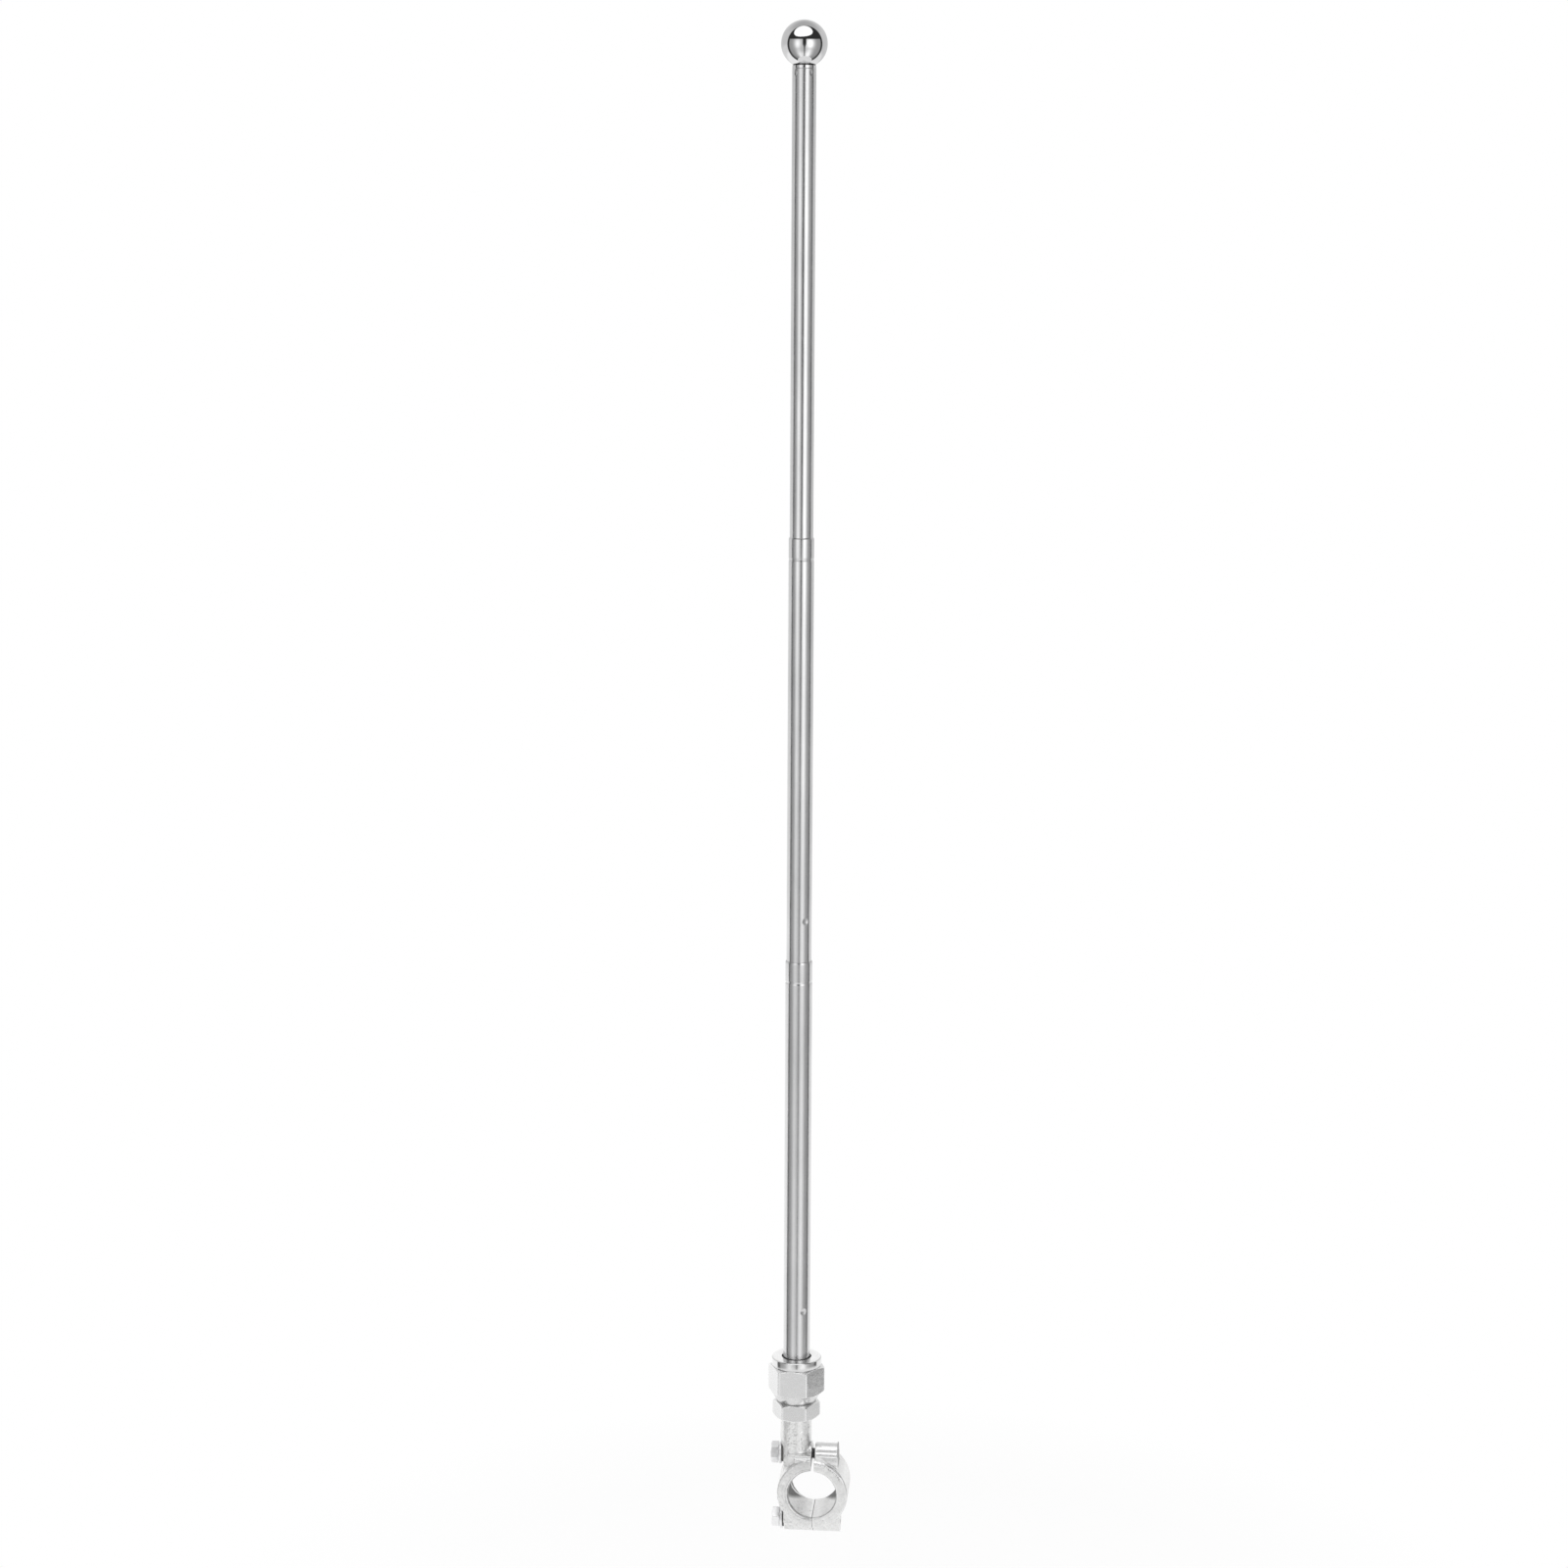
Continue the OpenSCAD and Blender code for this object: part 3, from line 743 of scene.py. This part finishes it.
def makeLockWasher(name, node, look):
    place, corners = washerShape(node, look)
    thick = corners[-1][1]
    radii, heights = soften(*spread(corners, 1), look["round"], look["roundSteps"], loop=True)
    section = list(zip(radii[:, 0], heights[:, 0]))
    points = []
    for t in np.linspace(0, 1, look["around"]):
        for r, z in section:
            half = look["split"] / 2 / r
            lean = (z - thick / 2) * math.tan(math.radians(look["slant"])) / r
            # the split faces the far side
            angle = math.pi / 2 + half + t * (2 * math.pi - 2 * half) - lean
            points.append((r * math.cos(angle), r * math.sin(angle), z))
    count = len(section)
    faces = ringFaces(look["around"], count)
    faces += [list(range(count)), list(range(len(points) - count, len(points)))]
    makePiece(name, (points, faces), node, springAndShadeFinish, place, look["sharp"])


for level in ("upper", "lower"):
    makeBolt(level + "BoltBright", level + "_bolt", bolt[level + "Turn"], bolt)
    makeFlatWasher(level + "FlatWasher", level + "_flat_washer", washer)
    makeLockWasher(level + "SpringWasher", level + "_lock_washer", lockWasher)
print("bolts and washers made")


# clamp castings: the CAD solid's own skin, remeshed fine, softened at its edges and roughened

casting = {
    "weld": 0.001, "voxel": 0.3, "smooth": 4, "smoothPart": 0.5, "sharp": 180,
    "lumpSize": 3.4, "lumpDepth": 0.06,
    "skinSize": 1.3, "skinDepth": 0.02,
    "pitSize": 1.6, "pitDepth": 0.7, "pitStart": 0.36,
    "stubRough": 1.0, "looseRough": 0.35,
    # edges worn bright with painted highlight, and painted shade in hollow corners
    "edgeStart": 0.010, "edgeFull": 0.035,
    "shadeStart": 0.012, "shadeFull": 0.060, "shadeMost": 0.2,
    # bore, its mouths and the lower seam
    "bore": 12.7, "halfWidth": 12.75, "mouth": 1.6, "mouthNear": 0.3,
    "mouthLines": (1.0, 0.5), "mouthLine": 0.12, "mouthShade": 0.35,
    "boreShade": 0.70, "boreShadeLeast": 0.09, "boreNear": 0.15, "lightLineDeep": 6.8, "lightLineHalf": 1.1,
    "boreShadeLow": 18, "boreShadeHigh": 80, "boreShadeSoft": 0.25,
    "boreShadeTop": 115, "boreShadeFade": 20,
    "seamShade": 0.85, "seamNear": 0.14, "seamLight": 1.1,
    # stub half
    "stubRadius": 8.4, "footLow": 19.7, "footHigh": 22, "footFlat": 0.5,
    "ledgeLow": 18.3, "ledgeFront": -9.0, "ledgeOver": 0.1,
    "patchLow": 12, "patchShade": 0.12, "patchFade": 3, "mottle": 0.26, "mottleSize": 0.9,
    "fleckSize": 0.9, "fleckDepth": 0.22, "fleckLow": 24, "fleckBearing": -104, "fleckWide": 16,
    # loose half
    "bossLow": 15.5, "bossBright": 0.7, "bossOver": 1,
    "endNear": 0.35, "endHalf": 6.5, "endShade": 0.45,
    "ringRadius": 18.7, "filed": 1.1, "filedFront": -11.2, "filedLow": 7, "filedFade": 4,
    "fleckDirt": 0.4, "fleckStart": 0.12,
}


def ridges(mesh):
    # how far each point stands out from its neighbours, in millimetres
    count = len(mesh.vertices)
    place, normal = np.empty(count * 3), np.empty(count * 3)
    ends = np.empty(len(mesh.edges) * 2, dtype=np.int32)
    mesh.vertices.foreach_get("co", place)
    mesh.vertex_normals.foreach_get("vector", normal)
    mesh.edges.foreach_get("vertices", ends)
    place, normal = place.reshape(-1, 3), normal.reshape(-1, 3)
    first, second = ends.reshape(-1, 2).T
    total, neighbours = np.zeros(count), np.zeros(count)
    for here, there in ((first, second), (second, first)):
        np.add.at(total, here, ((place[here] - place[there]) * normal[here]).sum(axis=1))
        np.add.at(neighbours, here, 1)
    return total / np.maximum(neighbours, 1) / mm


def flattenFoot(mesh, look):
    # the top of the stub's squared foot slopes less than its sides
    low, high = look["footLow"], look["footHigh"]
    for vertex in mesh.vertices:
        x, y, z = vertex.co / mm
        if low < z < high and math.hypot(x - poleX, y) > look["stubRadius"]:
            vertex.co.z = (low + (z - low) * look["footFlat"]) * mm


def roundMouths(mesh, look):
    # the bevels at the bore's mouths become full rounds
    mouth = look["mouth"]
    for vertex in mesh.vertices:
        x, y, z = vertex.co / mm
        out, deep = math.hypot(x, z) - look["bore"], look["halfWidth"] - abs(y)
        if abs(out + deep - mouth) < look["mouthNear"] and 0 < out < mouth:
            turn = math.pi / 2 * out / mouth
            grow = (look["bore"] + mouth * (1 - math.cos(turn))) / (look["bore"] + out)
            vertex.co.x, vertex.co.z = x * grow * mm, z * grow * mm
            vertex.co.y = math.copysign(look["halfWidth"] - mouth * (1 - math.sin(turn)), y) * mm


def fileEdge(mesh, look):
    # the upper front edge of the loose half's ring is filed to a wider bevel
    for vertex in mesh.vertices:
        x, y, z = vertex.co / mm
        out = math.hypot(x, z)
        wide = look["filed"] * min(max((z - look["filedLow"]) / look["filedFade"], 0), 1)
        over = wide - (look["ringRadius"] - out) - (look["halfWidth"] + y)
        if over > 0 and out < look["ringRadius"] + look["boreNear"]:
            shrink = 1 - over / 2 / out
            vertex.co = Vector((x * shrink, y + over / 2, z * shrink)) * mm


def placesOf(mesh):
    return np.array([v.co / mm for v in mesh.vertices]).T  # in millimetres


def mottleOf(mesh, size):
    shift = Vector((5, 2, 9))
    return np.array([max(noise.noise(v.co / mm / size + shift), 0) for v in mesh.vertices])


def boreShade(mesh, node, look):
    # painted shade on both sides of the bore, wider towards the far end, a light painted shade over
    # the whole bore, and a painted shade line in the lower seam
    x, y, z = placesOf(mesh)
    low, high = nodeBox(node)
    seam = high[0] if node == "clamp_stub_half" else low[0]
    line = look["seamShade"] * ((np.abs(x - seam) < look["seamNear"]) & (z < 0))
    inside = np.hypot(x, z) < look["bore"] + look["boreNear"]
    fromBottom = np.degrees(np.arctan2(np.abs(x), -z))
    sides = (fromBottom - look["boreShadeLow"]) / (look["boreShadeHigh"] - look["boreShadeLow"])
    deep = look["halfWidth"] - y  # from the far end
    dark = np.clip((sides - deep / (2 * look["halfWidth"])) / look["boreShadeSoft"], 0, 1)
    dark = dark * np.clip((look["boreShadeTop"] - fromBottom) / look["boreShadeFade"], 0, 1)
    # the painted shade leaves a light line along the loose half's far edge, which slants off it in
    # the stub half
    lightLine = look["lightLineDeep"] * sides if node == "clamp_stub_half" else 0
    dark = dark * (np.abs(deep - lightLine) > look["lightLineHalf"])
    return np.maximum(inside * np.maximum(look["boreShade"] * dark, look["boreShadeLeast"]), line)


def stubMarks(mesh, look):
    # the stub half: a painted highlight along the foot's upper edge, a strip beside the seam
    # painted lighter, painted shade on the face below that edge, painted shade lines round the
    # bore's mouths, and the rest below is mottled
    x, y, z = placesOf(mesh)
    front = (y < look["ledgeFront"]) & (x > poleX)
    ledge = front & (z > look["ledgeLow"]) & (z < look["footLow"] + look["ledgeOver"])
    seam = nodeBox("clamp_stub_half")[1][0]
    inside = np.hypot(x, z) < look["bore"] + look["boreNear"]
    strip = inside & (z < 0) & (x > seam - look["seamLight"])
    fade = np.clip((x - poleX) / look["patchFade"], 0, 1)
    patch = look["patchShade"] * fade * (front & (z > look["patchLow"]) & (z < look["ledgeLow"]))
    out = (np.hypot(x, z) - look["bore"]) / look["mouth"]
    lines = [np.abs(out - at) * look["mouth"] < look["mouthLine"] for at in look["mouthLines"]]
    atMouth = np.abs(y) > look["halfWidth"] - look["mouth"]
    lines = look["mouthShade"] * np.max(lines, axis=0) * atMouth
    mottle = look["mottle"] * mottleOf(mesh, look["mottleSize"]) * (z < look["ledgeLow"])
    return ledge | strip, np.max([patch, lines, mottle], axis=0)


def looseMarks(mesh, look):
    # the loose half: the upper boss is painted lighter and the ring's filed edge is bright, with
    # flecks inside that edge, and the boss's end has painted shade down to the ring
    x, y, z = placesOf(mesh)
    inward = look["ringRadius"] - np.hypot(x, z)
    edge = (y < look["filedFront"]) & (z > look["filedLow"])
    boss = look["bossBright"] * (z > look["bossLow"])
    bright = np.maximum(boss, edge & (inward < look["filed"]))
    flecks = edge & (inward > look["filed"]) & (inward < 2 * look["filed"])
    flecks = look["fleckDirt"] * flecks * (mottleOf(mesh, look["fleckSize"]) > look["fleckStart"])
    bossEnd = x[z > look["ringRadius"] + look["bossOver"]].max() - look["endNear"]
    end = (x > bossEnd) & (np.abs(y) < look["endHalf"]) & (z > 0) & (inward < 0)
    return bright * ~end, np.maximum(flecks, look["endShade"] * end)


def castSkin(point, look):
    # each noise is shifted off the others
    lump = noise.noise(point / look["lumpSize"]) * look["lumpDepth"]
    skin = noise.noise(point / look["skinSize"] + Vector((3, 8, 5))) * look["skinDepth"]
    pit = noise.noise(point / look["pitSize"] + Vector((9, 1, 4))) - look["pitStart"]
    pit = max(pit, 0) * look["pitDepth"]
    bearing = math.degrees(math.atan2(point.y, point.x - poleX))
    if point.z > look["fleckLow"] and abs(bearing - look["fleckBearing"]) < look["fleckWide"]:
        # a coarser streak up the stub
        pit += noise.noise(point / look["fleckSize"] + Vector((2, 7, 1))) * look["fleckDepth"]
    return lump + skin - pit


def makeCasting(name, node, rough, look):
    rawMesh = frame["nodes"][node].data.copy()
    bm = bmesh.new()
    bm.from_mesh(rawMesh)
    bmesh.ops.remove_doubles(bm, verts=bm.verts, dist=look["weld"] * mm)
    bm.to_mesh(rawMesh)
    bm.free()
    raw = bpy.data.objects.new(name + "Raw", rawMesh)
    scene.collection.objects.link(raw)
    remesh = raw.modifiers.new("remesh", "REMESH")
    remesh.mode = "VOXEL"
    remesh.voxel_size = look["voxel"] * mm
    smooth = raw.modifiers.new("smooth", "SMOOTH")
    smooth.factor = look["smoothPart"]
    smooth.iterations = look["smooth"]
    made = raw.evaluated_get(bpy.context.evaluated_depsgraph_get())
    mesh = bpy.data.meshes.new_from_object(made)
    bpy.data.objects.remove(raw)
    mesh.name = name
    flattenFoot(mesh, look)
    ridge = ridges(mesh)
    # edges lighter, partly worn metal and partly painted highlight
    wearAndHighlight = (ridge - look["edgeStart"]) / (look["edgeFull"] - look["edgeStart"])
    # painted shade in hollow corners, joined with the painted shade in the bore
    darkening = np.clip((-ridge - look["shadeStart"]) / (look["shadeFull"] - look["shadeStart"]), 0, 1)
    darkening = np.maximum(darkening * look["shadeMost"], boreShade(mesh, node, look))
    if node == "clamp_stub_half":
        bright, dull = stubMarks(mesh, look)
        roundMouths(mesh, look)
    else:
        bright, dull = looseMarks(mesh, look)
        fileEdge(mesh, look)
    # worn edges with painted highlight, and dirt with painted shade
    setMark(mesh, "wearAndHighlight", np.maximum(wearAndHighlight, bright))
    setMark(mesh, "dirtAndShade", np.maximum(darkening, dull))
    for vertex, normal in zip(mesh.vertices, [v.normal.copy() for v in mesh.vertices]):
        vertex.co += normal * castSkin(vertex.co / mm, look) * rough * mm
    finishPiece(name, mesh, node, castFinish, look["sharp"])


makeCasting("stubHalfCast", "clamp_stub_half", casting["stubRough"], casting)
makeCasting("looseHalfCast", "clamp_loose_half", casting["looseRough"], casting)
print("castings made")


# camera at the photograph's viewing angle, in a frame of 1600 by 1600

photoView = {
    "distance": 1379.28, "aside": -17.75, "height": 588.70,
    "azimuth": 4.93, "pitch": 8.705, "roll": 0.293,
    "focal": 2785.0, "frameSize": 1600, "sensor": 36.0,
    "nearest": 50, "farthest": 20000,
}


def makeCamera(look):
    azimuth, pitch, roll = (math.radians(look[k]) for k in ("azimuth", "pitch", "roll"))
    ahead = Vector((-math.sin(azimuth), math.cos(azimuth), 0))
    right = Vector((math.cos(azimuth), math.sin(azimuth), 0))
    up = Vector((0, 0, 1))
    place = right * look["aside"] - ahead * look["distance"] + up * look["height"]
    sight = ahead * math.cos(pitch) - up * math.sin(pitch)
    top = right.cross(sight)
    across = right * math.cos(roll) + top * math.sin(roll)
    top = top * math.cos(roll) - right * math.sin(roll)
    data = bpy.data.cameras.new("photoCamera")
    data.sensor_width = look["sensor"]
    data.lens = look["sensor"] * look["focal"] / look["frameSize"]
    data.clip_start, data.clip_end = look["nearest"] * mm, look["farthest"] * mm
    camera = bpy.data.objects.new("photoCamera", data)
    scene.collection.objects.link(camera)
    turn = Matrix((across, top, -sight)).transposed().to_4x4()
    camera.matrix_world = Matrix.Translation(place * mm) @ turn
    scene.camera = camera


makeCamera(photoView)


# studio: a white room, a pale floor, and a light tent that only mirrors see

studio = {
    "white": 1.0, "fill": 0.75,
    "floorDrop": 90, "floorRadius": 400, "floorAside": 30, "floorBack": 15, "floorSides": 96,
    "floorColour": 0.82, "floorLift": 0.22, "floorFade": 0.7,
    "tentRadius": 1750, "tentHeight": 745, "tentLow": -80,
    # behind: tones, and the degrees over which they change
    "backTone": 0.78, "backTop": -0.22, "backLeft": 0.14, "backRight": 0.02, "backLow": 0.27,
    "backTopSpan": (30, 65), "backSideSpan": (-4, 8), "backLowSpan": (16, 32),
    "windowTone": 1.3, "windowSide": 164, "windowLow": -18, "windowHigh": 10,
    "windowSideSoft": 6, "windowSoft": 4,
    # in front: where it starts, as cosines from its middle, and its dark
    "frontSide": 3, "frontRise": -6, "frontSpan": (-0.13, -0.06), "panelSpan": (0.05, 0.20),
    "dark": 0.04, "darkLow": 0.22, "darkLowSpan": (-4, 44), "darkAside": 0.7, "darkSpan": (35, 60),
    # the panels in it, their glow and the gap between them
    "panelTop": 17, "panelTopSoft": 1.5, "panelTone": 0.42,
    "panelLift": 0.26, "panelSideSpan": (20, 75), "panelFoot": 0.30, "panelFootSpan": (36, 54),
    "leftGlow": 0.85, "leftSide": -35, "leftWide": 15,
    "rightGlow": 1.25, "rightSide": 29, "rightWide": 18,
    "glowLevel": -4, "glowHigh": 22, "glowPower": 2.2, "glowTail": 0.4, "glowTailSpan": (24, 40),
    "gapHalf": 7.8, "gapLow": 3.5, "gapLowSpan": (4, 22), "gapIn": 2, "gapOut": 4,
    "lampFar": 1300, "lampRise": 58, "lampSide": -10, "lampRoll": 10,
    "lampLong": 2100, "lampWide": 1480, "lampTone": 1.5,
}


def smoothStep(value, low, high):
    t = np.clip((value - low) / (high - low), 0, 1)
    return t * t * (3 - 2 * t)


def softEdge(value, place, soft):
    return smoothStep(value, place - soft, place + soft)


def tentTone(azimuth, elevation, look):
    # brightness by direction, in degrees to the right of the viewer and above the horizon
    side, below = np.abs(azimuth), -elevation
    turn, rise = np.radians(azimuth - look["frontSide"]), np.radians(elevation)
    tip = math.radians(look["frontRise"])
    ahead = np.cos(turn) * np.cos(rise) * math.cos(tip) + np.sin(rise) * math.sin(tip)
    # the pale sweep behind, with a bright window in its middle
    back = look["backTone"] + look["backTop"] * smoothStep(elevation, *look["backTopSpan"])
    sideTone = np.where(azimuth < 0, look["backLeft"], look["backRight"])
    back = back + smoothStep(below, *look["backSideSpan"]) * sideTone
    back = back + look["backLow"] * smoothStep(below, *look["backLowSpan"])
    window = softEdge(side, look["windowSide"], look["windowSideSoft"])
    window = window * softEdge(elevation, look["windowLow"], look["windowSoft"])
    window = window * (1 - softEdge(elevation, look["windowHigh"], look["windowSoft"]))
    back = back + (look["windowTone"] - back) * window
    # the dark room in front, with two soft panels and a gap between them
    level = np.abs((elevation - look["glowLevel"]) / look["glowHigh"])
    tall = np.exp(-level ** look["glowPower"])
    tall = tall + look["glowTail"] * smoothStep(below, *look["glowTailSpan"])
    glow = 0
    for s in ("left", "right"):
        off = np.abs((azimuth - look[s + "Side"]) / look[s + "Wide"])
        glow = glow + look[s + "Glow"] * np.exp(-off ** 2)
    lift = look["panelLift"] + look["panelFoot"] * smoothStep(below, *look["panelFootSpan"])
    lift = lift * (1 - smoothStep(side, *look["panelSideSpan"]))
    panel = look["panelTone"] + lift + glow * tall
    narrow = smoothStep(below, *look["gapLowSpan"])
    gap = look["gapHalf"] + (look["gapLow"] - look["gapHalf"]) * narrow
    inside = smoothStep(side, gap - look["gapIn"], gap + look["gapOut"])
    inside = inside * smoothStep(ahead, *look["panelSpan"])
    inside = inside * (1 - softEdge(elevation, look["panelTop"], look["panelTopSoft"]))
    aside = 1 - look["darkAside"] * smoothStep(side, *look["darkSpan"])
    dark = look["dark"] + look["darkLow"] * smoothStep(below, *look["darkLowSpan"]) * aside
    front = dark + (panel - dark) * inside
    return back + (front - back) * smoothStep(ahead, *look["frontSpan"])


def emptyMaterial(name):
    material = bpy.data.materials.new(name)
    material.use_nodes = True
    material.node_tree.nodes.clear()
    return material, material.node_tree


def makeTent(look):
    azimuths = np.arange(-180.0, 180.0)
    elevations = np.arange(look["tentLow"], 90.0)
    side, rise = np.meshgrid(azimuths, elevations)
    a, e = np.radians(side).ravel(), np.radians(rise).ravel()
    points = np.stack([np.sin(a) * np.cos(e), -np.cos(a) * np.cos(e), np.sin(e)], axis=1)
    points = points * look["tentRadius"] * mm
    mesh = bpy.data.meshes.new("lightTent")
    mesh.from_pydata(points.tolist(), [], ringFaces(len(elevations), len(azimuths)))
    tone = mesh.attributes.new("tone", "FLOAT", "POINT")
    tones = tentTone(side.ravel(), rise.ravel(), look)
    tone.data.foreach_set("value", tones.astype(np.float32))
    material, tree = emptyMaterial("lightTent")
    shine = addNode(tree, "Emission", {"Strength": markOf(tree, "tone")})
    addNode(tree, "OutputMaterial", {"Surface": shine.outputs[0]})
    material.cycles.emission_sampling = "NONE"
    mesh.materials.append(material)
    tent = bpy.data.objects.new("lightTent", mesh)
    tent.location = (poleX * mm, 0, look["tentHeight"] * mm)
    tent.rotation_euler.z = math.radians(photoView["azimuth"])
    tent.visible_camera = tent.visible_diffuse = tent.visible_shadow = False
    scene.collection.objects.link(tent)


def seenPart(tree):
    # 1 where the camera, a mirror or glass looks, 0 for light that spreads
    path = addNode(tree, "LightPath")
    seen = path.outputs["Is Camera Ray"]
    for kind in ("Is Glossy Ray", "Is Transmission Ray"):
        both = {0: seen, 1: path.outputs[kind]}
        seen = addNode(tree, "Math", both, operation="MAXIMUM").outputs[0]
    return seen


def roomLight(tree, look):
    return between(tree, seenPart(tree), look["fill"], look["white"], (0, 1))


def makeRoom(look):
    world = bpy.data.worlds.new("whiteRoom")
    world.use_nodes = True
    scene.world = world
    tree = world.node_tree
    background = tree.nodes["Background"]
    background.inputs["Color"].default_value = (1, 1, 1, 1)
    tree.links.new(roomLight(tree, look), background.inputs["Strength"])


def makeFloor(look):
    bottom = cadBox[0][2] / mm - look["floorDrop"]
    angles = evenAngles(look["floorSides"])
    middle = Vector((poleX + look["floorAside"], look["floorBack"], bottom))
    points = [middle] + [middle + look["floorRadius"] * part * Vector((math.cos(a), math.sin(a), 0))
                         for part in (look["floorFade"], 1) for a in angles]
    count = len(angles)
    faces = []
    for j in range(count):
        here, after = 1 + j, 1 + (j + 1) % count
        faces += [[0, here, after], [here, count + here, count + after, after]]
    mesh = bpy.data.meshes.new("paleFloor")
    mesh.from_pydata([p * mm for p in points], [], faces)
    setMark(mesh, "fade", [0] * (1 + count) + [1] * count)
    material, tree = emptyMaterial("paleFloor")
    grey = look["floorColour"]
    matte = addNode(tree, "BsdfDiffuse", {"Color": (grey, grey, grey, 1)})
    lift = between(tree, seenPart(tree), 0, look["floorLift"], (0, 1))
    shine = addNode(tree, "Emission", {"Strength": lift})
    both = addNode(tree, "AddShader", {0: matte.outputs[0], 1: shine.outputs[0]})
    # the floor turns into the white room, so that no edge shows
    room = addNode(tree, "Emission", {"Strength": roomLight(tree, look)})
    parts = {0: markOf(tree, "fade"), 1: both.outputs[0], 2: room.outputs[0]}
    blend = addNode(tree, "MixShader", parts)
    addNode(tree, "OutputMaterial", {"Surface": blend.outputs[0]})
    mesh.materials.append(material)
    floor = bpy.data.objects.new("paleFloor", mesh)
    scene.collection.objects.link(floor)


def makeLamp(look):
    data = bpy.data.lights.new("topLamp", "AREA")
    data.shape = "ELLIPSE"
    data.size, data.size_y = look["lampLong"] * mm, look["lampWide"] * mm
    # the power that makes an ellipse of this size shine at lampTone
    data.energy = look["lampTone"] * math.pi * math.pi / 4 * data.size * data.size_y
    lamp = bpy.data.objects.new("topLamp", data)
    rise = math.radians(look["lampRise"])
    side = math.radians(photoView["azimuth"] + look["lampSide"])
    level = math.cos(rise)
    towards = Vector((math.sin(side) * level, -math.cos(side) * level, math.sin(rise)))
    aim = Vector((poleX, 0, ballHigh[2]))
    turn = towards.to_track_quat("Z", "Y").to_matrix().to_4x4()
    turn = turn @ Matrix.Rotation(math.radians(look["lampRoll"]), 4, "Z")
    lamp.matrix_world = Matrix.Translation((aim + towards * look["lampFar"]) * mm) @ turn
    lamp.visible_camera = False
    scene.collection.objects.link(lamp)


makeTent(studio)
makeRoom(studio)
makeFloor(studio)
makeLamp(studio)
print("studio made")
